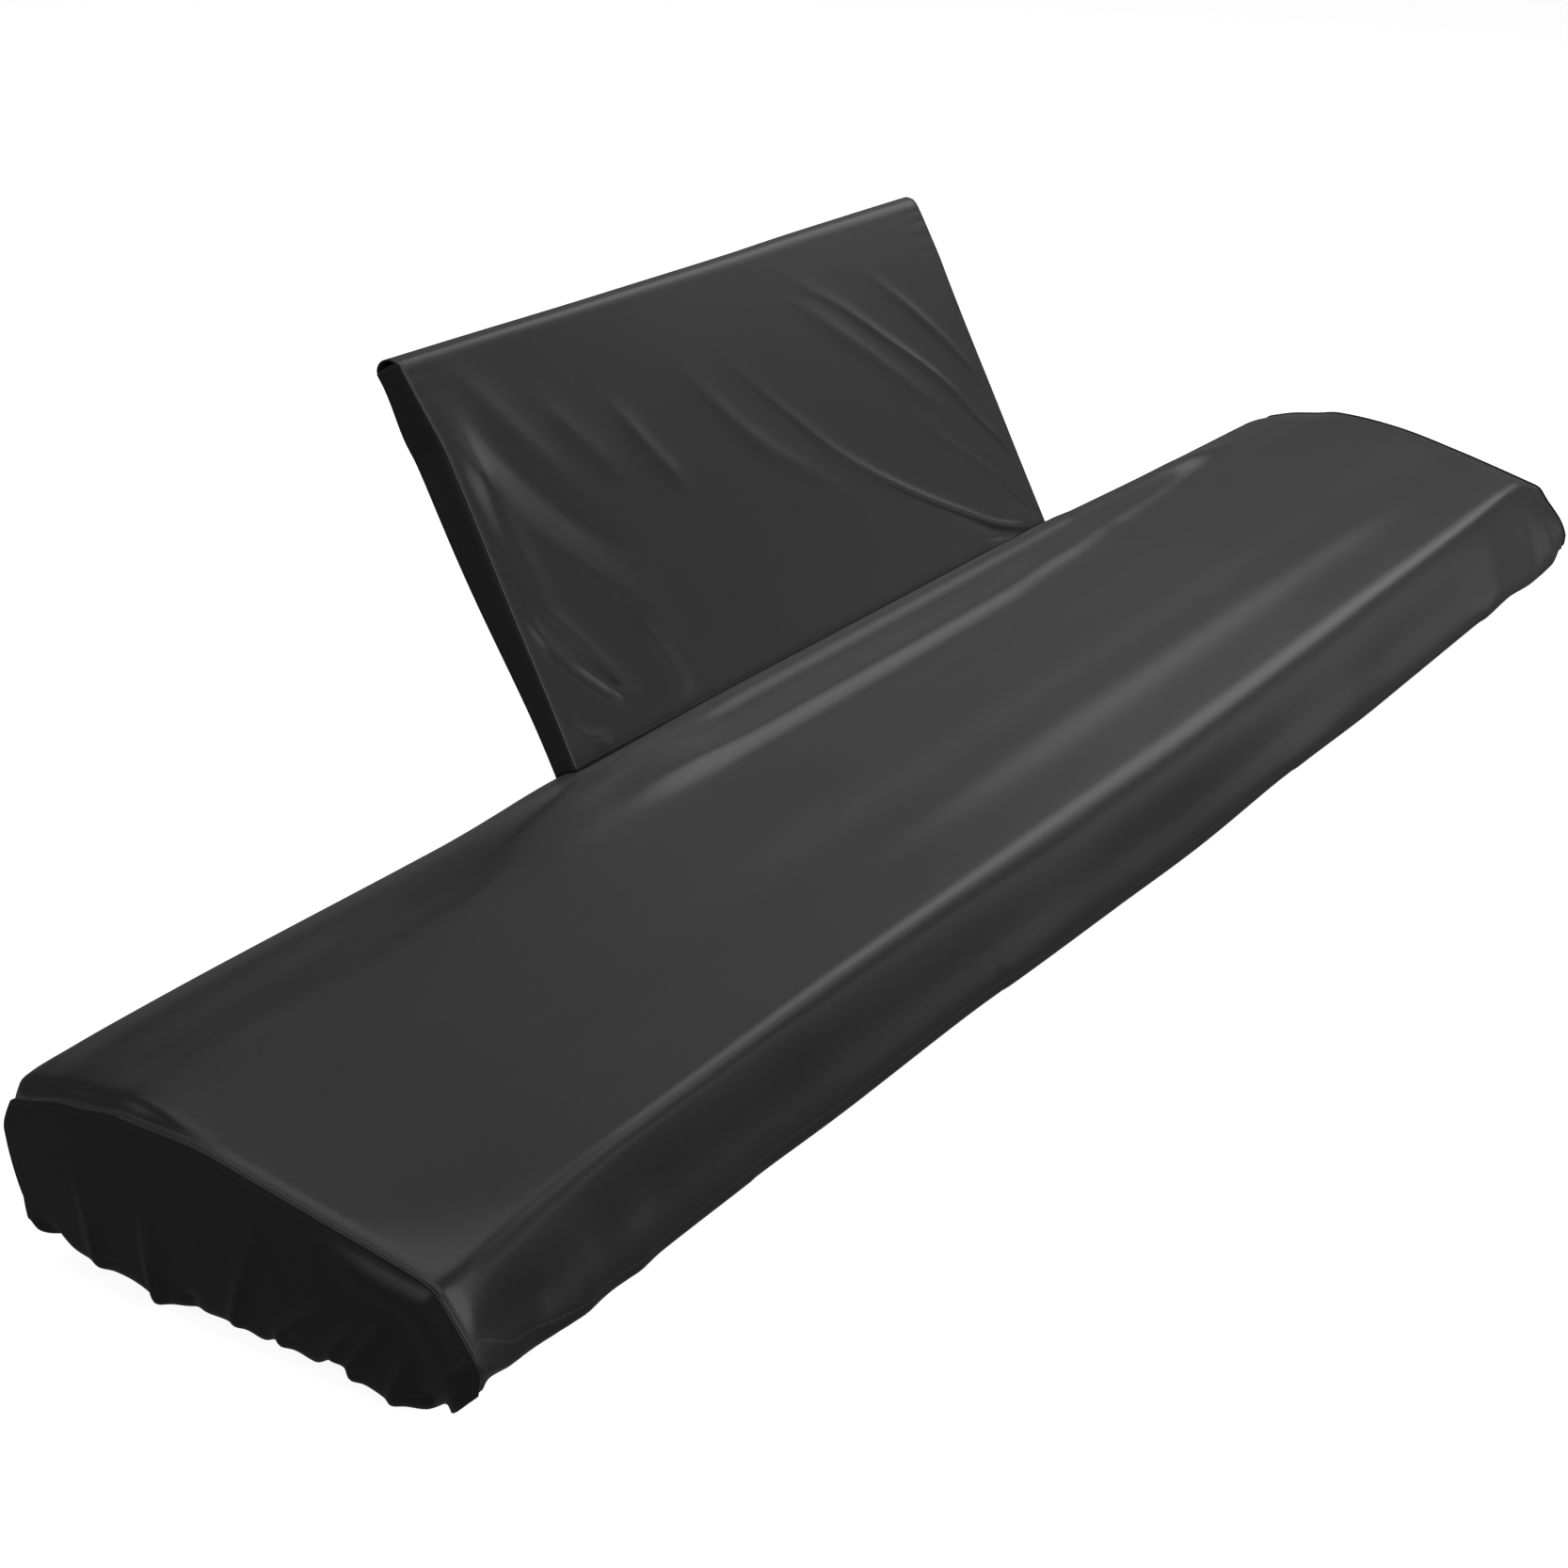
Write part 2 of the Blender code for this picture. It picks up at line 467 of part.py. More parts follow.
def sheet(name, rows, colour, flip=False, open_cells=(), even=True):
    """A panel from rows of points on its outer face, thickened inwards."""
    mesh = bpy.data.meshes.new(name)
    build = bmesh.new()
    grid = [[build.verts.new(Vector(p) * MM) for p in row] for row in rows]
    for i in range(len(rows) - 1):
        for k in range(len(rows[0]) - 1):
            if (i, k) not in open_cells:
                corners = [grid[i][k], grid[i + 1][k], grid[i + 1][k + 1], grid[i][k + 1]]
                build.faces.new(corners[::-1] if flip else corners)
    bmesh.ops.delete(build, geom=[v for v in build.verts if not v.link_faces], context="VERTS")
    build.to_mesh(mesh)
    build.free()
    mesh.shade_smooth()
    panel = bpy.data.objects.new(name, mesh)
    bpy.context.scene.collection.objects.link(panel)
    panel.parent = bpy.data.objects["cover_place"]
    mesh.materials.append(cloth_material(name + "_cloth", colour))
    solid = panel.modifiers.new("thickness", "SOLIDIFY")
    solid.thickness = CLOTH * MM
    solid.offset = -1.0
    solid.use_even_offset = even
    return panel


def make_main_panel(rows):
    first, last = column("slot_front"), column("slot_rear")
    places = stations()
    slot = {(i, k) for i in range(len(places) - 1) for k in range(first, last)
            if SLOT[0] - 0.1 < places[i] and places[i + 1] < SLOT[1] + 0.1}
    return sheet("main_panel", rows, COLOURS["top"], open_cells=slot)


def make_end_panels(rows):
    near_seam = [point[1:] for point in rows[0]]
    far_seam = [point[1:] for point in rows[-1]]
    near = end_rows(near_seam, NEAR_HEM, NEAR_FOLDS, NEAR_X, -1)
    far = end_rows(far_seam, FAR_HEM, FAR_FOLDS, FAR_X, 1)
    sheet("end_panel_left", near, COLOURS["end"], flip=True, even=False)
    sheet("end_panel_right", far, COLOURS["end"], even=False)


def make_sleeve():
    sheet("stand_front_panel", stand_front_rows(), COLOURS["sleeve"], flip=True)
    sheet("stand_back_panel", stand_back_rows(), COLOURS["sleeve"])
    sheet("stand_gusset_left", gusset_rows(-1), COLOURS["end"])
    sheet("stand_gusset_right", gusset_rows(1), COLOURS["end"], flip=True)


def build_cover():
    for old in list(bpy.data.objects):
        bpy.data.objects.remove(old)
    place = bpy.data.objects.new("cover_place", None)
    bpy.context.scene.collection.objects.link(place)
    place.location = -Vector(ORIGIN) * MM
    rows = main_rows()
    make_main_panel(rows)
    make_end_panels(rows)
    make_sleeve()


build_cover()
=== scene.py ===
"""Looks of a fitted cloth cover for a slim keyboard piano, with a sleeve over its music stand.

The tables are in millimetres, with x = 0 near the middle, y = 0 above the keys and heights from the front
corner of the hem. ORIGIN moves them into the frame, whose origin lies under the middle of the top.
"""
import bpy
import numpy as np
from collections import namedtuple
from math import cos, pi, radians, sin
from mathutils import Matrix, Vector


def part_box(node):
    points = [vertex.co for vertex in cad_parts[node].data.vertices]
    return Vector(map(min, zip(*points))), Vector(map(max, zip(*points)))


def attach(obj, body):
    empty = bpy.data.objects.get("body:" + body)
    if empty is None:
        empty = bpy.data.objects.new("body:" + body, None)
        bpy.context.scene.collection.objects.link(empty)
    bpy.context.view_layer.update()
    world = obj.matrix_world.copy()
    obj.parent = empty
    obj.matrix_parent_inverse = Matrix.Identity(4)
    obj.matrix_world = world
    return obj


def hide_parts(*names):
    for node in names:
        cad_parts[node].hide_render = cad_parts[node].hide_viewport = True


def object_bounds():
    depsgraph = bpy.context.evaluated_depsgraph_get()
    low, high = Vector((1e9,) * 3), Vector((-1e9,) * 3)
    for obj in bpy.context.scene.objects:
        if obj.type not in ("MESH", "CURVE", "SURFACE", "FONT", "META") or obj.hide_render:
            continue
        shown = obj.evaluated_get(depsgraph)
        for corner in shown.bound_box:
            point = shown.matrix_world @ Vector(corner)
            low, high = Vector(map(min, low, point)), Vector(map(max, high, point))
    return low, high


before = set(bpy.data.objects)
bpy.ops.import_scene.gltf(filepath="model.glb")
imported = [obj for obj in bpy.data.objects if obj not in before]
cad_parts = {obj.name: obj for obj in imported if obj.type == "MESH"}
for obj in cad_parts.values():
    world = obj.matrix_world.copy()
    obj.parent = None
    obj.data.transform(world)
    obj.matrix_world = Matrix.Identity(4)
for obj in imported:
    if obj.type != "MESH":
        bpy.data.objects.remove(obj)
cad_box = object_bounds()

MM = 0.001
ORIGIN = np.array((8.0, 16.0, 58.9))


def seam_planes():
    """x of the two end seams, where the main panel ends."""
    low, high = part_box("main_panel")
    return low.x / MM + ORIGIN[0], high.x / MM + ORIGIN[0]


NEAR_X, FAR_X = seam_planes()
THICKNESS = 0.8             # of the cloth as it shows


# ---------------------------------------------------------------- camera, light and floor

CAMERA_PLACE = (-1.35963, -0.64300, 0.53266)
CAMERA_TURN = radians(-59.24)       # about +Z, from looking along +Y
CAMERA_DOWN = radians(21.94)
CAMERA_ROLL = radians(1.02)
CAMERA_LENS = 61.9                  # millimetres, on a sensor 36 mm wide
SENSOR_WIDTH, CAMERA_REACH = 36.0, 50.0


def place_camera():
    camera = bpy.data.objects.new("camera", bpy.data.cameras.new("camera"))
    bpy.context.scene.collection.objects.link(camera)
    camera.data.lens = CAMERA_LENS
    camera.data.sensor_width = SENSOR_WIDTH
    camera.data.clip_end = CAMERA_REACH
    camera.location = CAMERA_PLACE
    aim = (Matrix.Rotation(CAMERA_TURN, 4, "Z") @ Matrix.Rotation(pi / 2 - CAMERA_DOWN, 4, "X")
           @ Matrix.Rotation(CAMERA_ROLL, 4, "Z"))
    camera.rotation_euler = aim.to_euler()
    bpy.context.scene.camera = camera


# Rectangles of light that face the origin. The roll is in degrees and the power in watts.
Lamp = namedtuple("Lamp", "name place width height roll power")
LAMPS = [
    Lamp("front_softbox", (-0.6, -2.6, 1.3), 2.8, 2.0, 0, 31),
    Lamp("far_softbox", (2.9, -0.17, 1.95), 1.32, 2.2, -30, 12.5),
    Lamp("far_side", (2.9, -1.35, 1.15), 0.9, 1.0, 0, 0.7),
    Lamp("far_high", (2.9, -0.5, 2.9), 1.2, 1.2, 0, 3),
    Lamp("front_right", (1.7, -2.5, 1.0), 0.9, 0.7, 0, 1.4),
    Lamp("edge_line", (1.3, -1.15, 1.75), 0.9, 0.7, 0, 2.0),
    Lamp("far_wall", (2.9, 1.42, 2.05), 1.5, 2.3, -25, 1.9),
    Lamp("far_top", (2.8, 2.4, 2.9), 1.8, 2.0, -25, 0.7),
    Lamp("far_fill", (2.8, -1.93, 0.35), 1.6, 0.7, 0, 1.75),
    Lamp("overhead", (0.0, 0.2, 2.6), 2.4, 2.0, 0, 16),
    Lamp("near_fill", (-3.0, 0.8, 1.1), 2.0, 1.5, 0, 10),
]
WORLD_LIGHT = 0.075
FLOOR_SIZE, FLOOR_DROP = 40, 0.001  # FLOOR_DROP is below the lowest hem
FLOOR_TONE, FLOOR_ROUGHNESS, FLOOR_GLOW = 0.9, 0.9, 0.88
WHITE = (1, 1, 1, 1)


def place_lamps():
    for lamp in LAMPS:
        light = bpy.data.lights.new(lamp.name, "AREA")
        light.shape = "RECTANGLE"
        light.size, light.size_y = lamp.width, lamp.height
        light.energy = lamp.power
        holder = bpy.data.objects.new(lamp.name, light)
        bpy.context.scene.collection.objects.link(holder)
        holder.location = lamp.place
        aim = (-Vector(lamp.place)).to_track_quat("-Z", "Y").to_matrix().to_4x4()
        holder.rotation_euler = (aim @ Matrix.Rotation(radians(lamp.roll), 4, "Z")).to_euler()


def make_world():
    """White behind the floor for the camera, and a weak grey light for everything else."""
    world = bpy.data.worlds.new("studio")
    world.use_nodes = True
    nodes, links = world.node_tree.nodes, world.node_tree.links
    light = nodes["Background"]
    light.inputs["Color"].default_value = WHITE
    light.inputs["Strength"].default_value = WORLD_LIGHT
    seen = nodes.new("ShaderNodeBackground")
    seen.inputs["Color"].default_value = WHITE
    path, either = nodes.new("ShaderNodeLightPath"), nodes.new("ShaderNodeMixShader")
    links.new(path.outputs["Is Camera Ray"], either.inputs["Fac"])
    links.new(light.outputs[0], either.inputs[1])
    links.new(seen.outputs[0], either.inputs[2])
    links.new(either.outputs[0], nodes["World Output"].inputs["Surface"])
    bpy.context.scene.world = world


def make_floor():
    """A pale floor that glows evenly, so that it stays white under the cover's soft shadow."""
    bpy.ops.mesh.primitive_plane_add(size=FLOOR_SIZE, location=(0, 0, cad_box[0].z - FLOOR_DROP))
    floor = bpy.context.object
    floor.name = "floor"
    floor.visible_glossy = False
    floor.visible_diffuse = False
    paint = bpy.data.materials.new("floor")
    paint.use_nodes = True
    shader = paint.node_tree.nodes["Principled BSDF"]
    shader.inputs["Base Color"].default_value = (FLOOR_TONE, FLOOR_TONE, FLOOR_TONE, 1)
    shader.inputs["Roughness"].default_value = FLOOR_ROUGHNESS
    shader.inputs["Specular IOR Level"].default_value = 0.0
    shader.inputs["Emission Color"].default_value = WHITE
    shader.inputs["Emission Strength"].default_value = FLOOR_GLOW
    paint.cycles.emission_sampling = "NONE"
    floor.data.materials.append(paint)


# ---------------------------------------------------------------- the cut of the cover

HEM_TURN, HEM_ROUND, HEM_CURL = 14.0, 5.5, 4.0      # what is turned under, its rounding, its tip's rise
BULGE_Z = 38.0              # height of the fullest line of the back
SLOPE_Y, SHOULDER_Y = -20.0, 30.0
HUMP_Y, TROUGH_Y, CREST_Y = 78.0, 97.0, 116.0
SLOT_FRONT_Y, CREST_FALL = 131.5, 4.0               # CREST_FALL is from the crest down to the slot
SLOT_ROUND = (1.0, 1.5)     # how far the slot's middle is pushed back and up
EDGE_UNDER = (0.75, 0.88)   # from the front edge forwards and down, as shares of its radius
EDGE_OVER = (1.0, 0.38)     # from the front edge backwards and up, the same

# The front of the cross-section at each x: hem, share of the hem tucked under, belly, front edge.
FrontLine = namedtuple("FrontLine", "x hem_y hem_z turned belly edge_y edge_z edge_r")
FRONT = [
    FrontLine(-675, -97, -1, 0, 0.7, -77, 37.6, 12),
    FrontLine(-650, -96.5, -4.5, 0.8, 0.6, -78.2, 41.2, 8),
    FrontLine(-615, -99, -3.5, 1, 0.6, -78, 44.5, 7),
    FrontLine(-550, -99.3, -4, 1, 0.2, -79, 47.5, 5),
    FrontLine(-400, -102, -6, 1, 0.2, -80, 47.6, 6),
    FrontLine(-290, -103.5, -6.8, 1, 0.3, -81.5, 46.8, 6.5),
    FrontLine(-130, -108, -10.4, 1, 0.3, -84.6, 45.1, 8.5),
    FrontLine(-10, -110.5, -13.2, 1, 0.3, -86.5, 44.3, 9.5),
    FrontLine(120, -112.5, -11.3, 1, 0.3, -86.7, 44.1, 9.5),
    FrontLine(275, -114.5, -15, 1, 0.3, -86.7, 44.6, 9.5),
    FrontLine(430, -116, -14.7, 1, 0.3, -87, 44.8, 9),
    FrontLine(535, -117.3, -13.4, 1, 0.5, -86.3, 44.8, 9),
    FrontLine(600, -117.5, -18, 1, 1, -85, 44.8, 7.5),
    FrontLine(650, -116.5, -19, 0.8, 2, -84.5, 43, 7.5),
    FrontLine(690, -112.3, -12, 0, 2.5, -90.5, 34.2, 9),
]
# The top and the back of the cross-section at each x.
TopLine = namedtuple("TopLine", "x slope_z shoulder_z hump_z trough_z crest_z "
                                "rear_y rear_z bulge_y back_y back_z")
TOP = [
    TopLine(-675, 52, 62.3, 71.6, 69.4, 67, 146, 57, 152, 137, 0),
    TopLine(-650, 52, 62.2, 71.3, 70, 70.5, 144.5, 58.5, 150, 140.5, -4),
    TopLine(-615, 52, 62.2, 71.2, 71, 73, 143.5, 59, 149, 142, -7),
    TopLine(-550, 53, 62.8, 71.6, 72, 74, 143.5, 59, 149, 142, -8),
    TopLine(-400, 54, 63.4, 72.4, 72.6, 73.2, 144, 59, 149.5, 142, -9),
    TopLine(-290, 54.2, 64, 71.8, 72.6, 74.2, 145.5, 63.6, 150.5, 143, -9),
    TopLine(-100, 55, 65, 71, 72.2, 73.8, 145.5, 63.6, 150.5, 143, -9),
    TopLine(100, 55.2, 65.4, 70.8, 72, 73.6, 145.5, 63.6, 150.5, 143, -9),
    TopLine(262, 55.2, 65.4, 71, 71.8, 73.4, 145.5, 63.4, 150.5, 143, -10),
    TopLine(292, 55, 65.3, 70.2, 71, 71.8, 145, 61.5, 150.3, 143, -10),
    TopLine(430, 54.4, 64.6, 70.2, 70, 69.2, 144, 57.5, 149.5, 142, -10),
    TopLine(560, 54.6, 64.3, 70.8, 69.6, 67.2, 143.5, 56, 148.5, 142, -11),
    TopLine(645, 54.4, 64.2, 70.8, 68.8, 66.6, 143, 54.5, 148, 141, -10),
    TopLine(690, 55.2, 66.6, 70.4, 67.5, 64.8, 143, 53, 148, 140, -6),
]

# How the main panel rolls over to each end seam: distance from the seam, share of the drop.
Roll = namedtuple("Roll", "inset drop")
NEAR_ROLL = [Roll(0, 1.0), Roll(3, 1.0), Roll(5.5, 0.55), Roll(9, 0.1), Roll(16, 0.0)]
FAR_ROLL = [Roll(0, 1.0), Roll(3, 1.0), Roll(12, 0.66), Roll(24, 0.28), Roll(42, 0.0)]
NEAR_DROP = (1.0, 7.0)      # in front of the hump, and from the hump to the back
FAR_DROP = (3.2, 2.8)
SEAM_FLAT = 3.0             # beside an end seam, where the cross-section stays the same
RIDGE_HEIGHT, RIDGE_INSET, RIDGE_WIDTH = 0.35, 5.0, 2.4
PUCKER, PUCKER_REACH, PUCKER_START = 0.14, 9.0, 3.0
PUCKER_WAVE, PUCKER_SWAY, PUCKER_SWELL = 1.35, 6.1, 17.0    # run of the ripples, their sway and their swell
FALL_FADE, TOP_FADE = 10.0, 38.0                    # how far from a seam's allowance the creases die out

# Rows of cells between one named place of the section and the next.
PLACES = ["front_tip", "front_turn", "front_hem", "fall", "edge_low", "edge", "edge_top", "slope",
          "shoulder", "hump", "trough", "crest", "slot_front", "slot_mid", "slot_rear", "bulge",
          "back_hem", "back_turn", "back_tip"]
CELLS = [4, 4, 9, 7, 6, 6, 13, 14, 12, 6, 6, 6, 4, 4, 9, 10, 4, 4]
PITCH = 4.2                 # between rows of the main panel, away from its ends
FIRST_PITCH, PITCH_GROWTH, FINE_REACH = 0.8, 1.12, 60

LEAN = radians(28.6)        # of the sleeve
SLEEVE_FOOT = (132.6, 70.9)                         # y and height of the foot of its front
SLEEVE_DEPTH, FOOT_DEPTH, TOP_DEPTH = 21.8, 14.8, 16.5
FOOT_REACH, TOP_REACH = 150.0, 48.0                 # how far up and down the slope the depth changes
SLOT = (-283.5, 266.0)      # x of the ends of the slot in the main panel
TOP_TURN, TURN_ANGLE = 8.5, radians(150)            # radius and angle of the turn over the top edge
BACK_TUCK, BACK_SHORT = 2.6, 0.6                    # the back's foot inside the slot, its top below the turn
GUSSET_SHORT = 4.0          # from a side strip's end up to the sleeve's top
# Where the folds of the sleeve's front and back die out: a share of the width, and from the foot and top.
FRONT_SIDE, FRONT_FOOT, FRONT_TOP = 0.03, 8, 14
BACK_SIDE, BACK_FOOT, BACK_TOP = 0.08, 12, (6, 20)
SleeveSide = namedtuple("SleeveSide", "up left right")
SLEEVE_SIDES = [SleeveSide(0, -286.5, 268.5), SleeveSide(35, -284.5, 269.3), SleeveSide(95, -282.5, 271.2),
                SleeveSide(150, -280.0, 272.6), SleeveSide(178, -279.3, 274.0),
                SleeveSide(197, -281.5, 275.2), SleeveSide(222, -284.5, 274.8),
                SleeveSide(242, -287.0, 273.0)]
Top = namedtuple("Top", "x up")
SLEEVE_TOP = [Top(-285, 234), Top(-215, 234.6), Top(-140, 235), Top(-50, 235.9), Top(40, 236.9),
              Top(110, 238.4), Top(180, 239.4), Top(276, 240.5)]

# The lowest line of each end panel, from the front corner to the back corner.
Dip = namedtuple("Dip", "y z")
NEAR_HEM = [Dip(-97, -1), Dip(-92, -6), Dip(-84, -14), Dip(-73, -20), Dip(-55, -20), Dip(-39, -16),
            Dip(-27, -10), Dip(-17, -15), Dip(1, -11), Dip(9, -14), Dip(21, -11.5), Dip(41, -13),
            Dip(61, -14.5), Dip(81, -11), Dip(102, -9.5), Dip(120, -7), Dip(131, -3.5), Dip(136, 0)]
FAR_HEM = [Dip(-112, -10), Dip(-100, -16), Dip(-78, -22), Dip(-52, -19), Dip(-34, -22), Dip(-10, -18),
           Dip(14, -21), Dip(42, -17), Dip(72, -18.5), Dip(100, -14), Dip(124, -11), Dip(140, -6)]
END_BULGE = 3.0             # how far an end panel swells out
BULGE_TURN = radians(112)   # the part of a sine that the swelling follows from the seam to the hem
CORNER_SHARE, CORNER_FLAT = 0.12, 0.02              # of the width, where the hem starts to be turned under
HEM_RISE = 7.0              # from the tip of an end panel's hem up to where it turns
CREASE_START = 0.15         # share of the drop over which an end panel's gathers grow
SEAM_OUT = 1.8              # from the seam out to an end panel's face
SEAM_PROUD = 0.8            # of an end panel's sewn edge, past the main panel's outline
RIM_PUFF, RIM_START, RIM_REACH = 3.0, 4.2, 10.0     # rounding inside the front of an end's seam
RIM_FADE, RIM_SOFT = -5.0, 50.0                     # y where the rounding has gone, and over what length
ACROSS, DOWN, HEM_ROWS = 210, 66, 12                # cells of an end panel


# ---------------------------------------------------------------- creases

# A crease is a soft ridge, or a trough where its height is below 0, along a line of points. It grows over
# the first share of its length and dies over the last one, and narrows by the share taper. lean makes one
# side of it steeper: above 0 the side on the left of the line is the gentle one.
Crease = namedtuple("Crease", "height width taper lean grow die path")
PATH_CELLS, WIDTHS_AWAY = 6, 5      # cells between a crease's points, and how many widths off it still shows
STAND_CREASES = [
    # from the top edge to the far lower corner, where they all meet
    Crease(1.5, 6, 0.55, 0.3, 0.75, 0.04, [(63, 226), (97, 205), (137, 180), (170, 153), (197, 131),
                                           (220, 109), (238, 83), (256, 62), (268, 38), (271, 14)]),
    Crease(0.7, 10, 0.3, 0.0, 0.4, 0.3, [(70, 205), (115, 172), (144, 148), (174, 122), (200, 99),
                                         (222, 74)]),
    Crease(0.9, 7, 0.3, 0.0, 0.5, 0.2, [(171, 208), (188, 190), (210, 170), (231, 148), (251, 123),
                                        (267, 101), (273, 83)]),
    Crease(1.7, 7, 0.6, 0.3, 0.6, 0.05, [(-25, 187), (-6, 170), (14, 148), (36, 125), (58, 102), (84, 82),
                                         (112, 64), (142, 47), (179, 28), (208, 14), (262, -2)]),
    Crease(0.9, 11, 0.2, 0.0, 0.45, 0.4, [(-63, 196), (-53, 177), (-41, 158), (-22, 134), (-4, 116), (21, 98),
                                          (50, 77), (80, 60)]),
    Crease(1.3, 6, 0.4, 0.2, 0.7, 0.1, [(150, 114), (184, 82), (208, 63), (231, 42), (250, 22), (266, 2)]),
    Crease(-1.4, 9, 0.3, 0.0, 0.6, 0.1, [(150, 28), (200, 8), (262, -8)]),
    # from the near edge downwards
    Crease(1.2, 17, 0.2, 0.2, 0.2, 0.4, [(-290, 182), (-258, 156), (-237, 122), (-205, 90), (-172, 60),
                                         (-150, 20)]),
    Crease(2.8, 17, 0.0, 0.0, 0.4, 0.5, [(-258, 212), (-262, 180), (-262, 150), (-258, 110), (-254, 60)]),
    Crease(0.8, 14, 0.0, 0.0, 0.4, 0.4, [(-262, 232), (-234, 197), (-219, 175), (-200, 150), (-178, 120)]),
    Crease(0.6, 12, 0.0, 0.0, 0.4, 0.4, [(-200, 200), (-179, 172), (-157, 145), (-140, 122)]),
    Crease(0.9, 9, 0.0, 0.0, 0.5, 0.25, [(-138, 186), (-128, 166), (-116, 144), (-102, 123), (-92, 108)]),
    Crease(-0.7, 12, 0.0, 0.0, 0.4, 0.4, [(-262, 200), (-236, 160), (-205, 122), (-165, 86)]),
    Crease(1.0, 7, 0.0, 0.2, 0.3, 0.3, [(-280, 150), (-277, 122), (-274, 96), (-271, 66), (-262, 50)]),
    Crease(1.5, 6, 0.2, 0.3, 0.3, 0.2, [(-280, 92), (-264, 60), (-246, 38), (-224, 18)]),
    Crease(1.1, 7, 0.2, 0.2, 0.3, 0.3, [(-268, 92), (-246, 68), (-232, 46), (-212, 20)]),
    Crease(-1.5, 6, 0.0, 0.0, 0.3, 0.2, [(-258, 62), (-240, 40), (-222, 22)]),
    Crease(1.2, 10, 0.0, 0.0, 0.4, 0.2, [(-192, 66), (-180, 40), (-172, 6)]),
    Crease(1.1, 6, 0.0, 0.0, 0.2, 0.3, [(-284, 30), (-268, 14), (-246, 6)]),
]
BACK_CREASES = [
    Crease(1.6, 20, 0.0, 0.0, 0.3, 0.3, [(-180, 200), (-60, 112), (90, 20)]),
    Crease(-1.4, 22, 0.0, 0.0, 0.3, 0.3, [(60, 210), (150, 120), (230, 30)]),
]
FALL_CREASES = [                # on the front fall, as x along it and height up it
    Crease(-1.0, 11, 0.0, 0.0, 0.0, 0.6, [(-640, -6), (-634, 12), (-628, 34)]),
    Crease(1.4, 12, 0.0, 0.0, 0.0, 0.6, [(-612, -6), (-604, 14), (-596, 36)]),
    Crease(1.4, 12, 0.0, 0.0, 0.0, 0.6, [(-575, -6), (-565, 12), (-548, 28)]),
    Crease(-1.2, 26, 0.0, 0.0, 0.0, 0.6, [(-480, -8), (-440, 14), (-400, 30)]),
    Crease(1.2, 30, 0.0, 0.0, 0.0, 0.6, [(-250, -10), (-180, 10), (-90, 26)]),
    Crease(1.3, 30, 0.0, 0.0, 0.0, 0.6, [(120, -12), (220, 6), (330, 24)]),
    Crease(1.4, 20, 0.0, 0.0, 0.0, 0.6, [(480, -14), (520, 8), (560, 30)]),
    Crease(-0.9, 14, 0.0, 0.0, 0.0, 0.6, [(610, -12), (624, 8), (636, 30)]),
    Crease(0.8, 8, 0.0, 0.0, 0.0, 0.6, [(650, -10), (656, 10), (658, 28)]),
]
TOP_CREASES = [                 # on the top, as x along it and y across it
    Crease(3.7, 28, 0.0, 0.25, 0.45, 0.2, [(-440, -28), (-260, -27), (0, -27), (220, -27), (400, -28),
                                           (600, -26)]),
    Crease(1.6, 28, 0.0, 0.0, 0.4, 0.3, [(-400, 6), (-100, 6), (200, 6), (400, 6), (600, 6)]),
    Crease(0.9, 16, 0.0, 0.0, 0.4, 0.4, [(-200, 46), (100, 47), (400, 47)]),
    Crease(4.2, 14, -0.15, 0.4, 0.12, 0.12, [(-330, 84), (-260, 84), (100, 84), (160, 88), (220, 90),
                                             (280, 95), (340, 98), (400, 102), (460, 109), (540, 112)]),
    Crease(5.2, 14, 0.0, 0.4, 0.2, 0.15, [(-330, 106), (-280, 112), (-220, 117), (-140, 119.5), (0, 119.5),
                                          (220, 119.5), (340, 118), (400, 115), (460, 112.5), (520, 115),
                                          (600, 118)]),
    Crease(8.5, 23, 0.0, -0.3, 0.45, 0.45, [(-450, 92), (-400, 97), (-350, 102), (-300, 105), (-240, 106),
                                            (-180, 107)]),
    Crease(0.9, 9, 0.0, 0.2, 0.3, 0.5, [(-645, 88), (-600, 82), (-560, 76), (-490, 70)]),
]
# Gathers of the end panels, as y and height, starting at the hem and dying out upwards.
NEAR_CREASES = [
    Crease(2.4, 6, 0.0, 0.0, 0.0, 0.8, [(94, -18), (100, 16), (111, 50)]),
    Crease(4.2, 5, 0.0, 0.0, 0.0, 0.8, [(60, -22), (65, 6), (70, 38)]),
    Crease(2.6, 5, 0.0, 0.0, 0.0, 0.8, [(25, -18), (17, 10), (8, 46)]),
    Crease(3.6, 4.5, 0.0, 0.0, 0.0, 0.8, [(9, -18), (-12, 4), (-35, 20)]),
    Crease(3.4, 4.5, 0.0, 0.0, 0.0, 0.8, [(-17, -20), (-31, 0), (-47, 16)]),
    Crease(3.2, 4.5, 0.0, 0.0, 0.0, 0.8, [(-31, -20), (-45, 4), (-64, 28)]),
    Crease(3.2, 4.5, 0.0, 0.0, 0.0, 0.8, [(-53, -24), (-60, -6), (-69, 14)]),
    Crease(2.4, 4, 0.0, 0.0, 0.0, 0.8, [(-84, -16), (-88, 0), (-93, 18)]),
    Crease(-4.0, 7, 0.0, 0.0, 0.0, 0.8, [(44, -16), (46, -8), (48, 2)]),
    Crease(-4.5, 7, 0.0, 0.0, 0.0, 0.8, [(-74, -19), (-74, -10), (-74, -2)]),
]
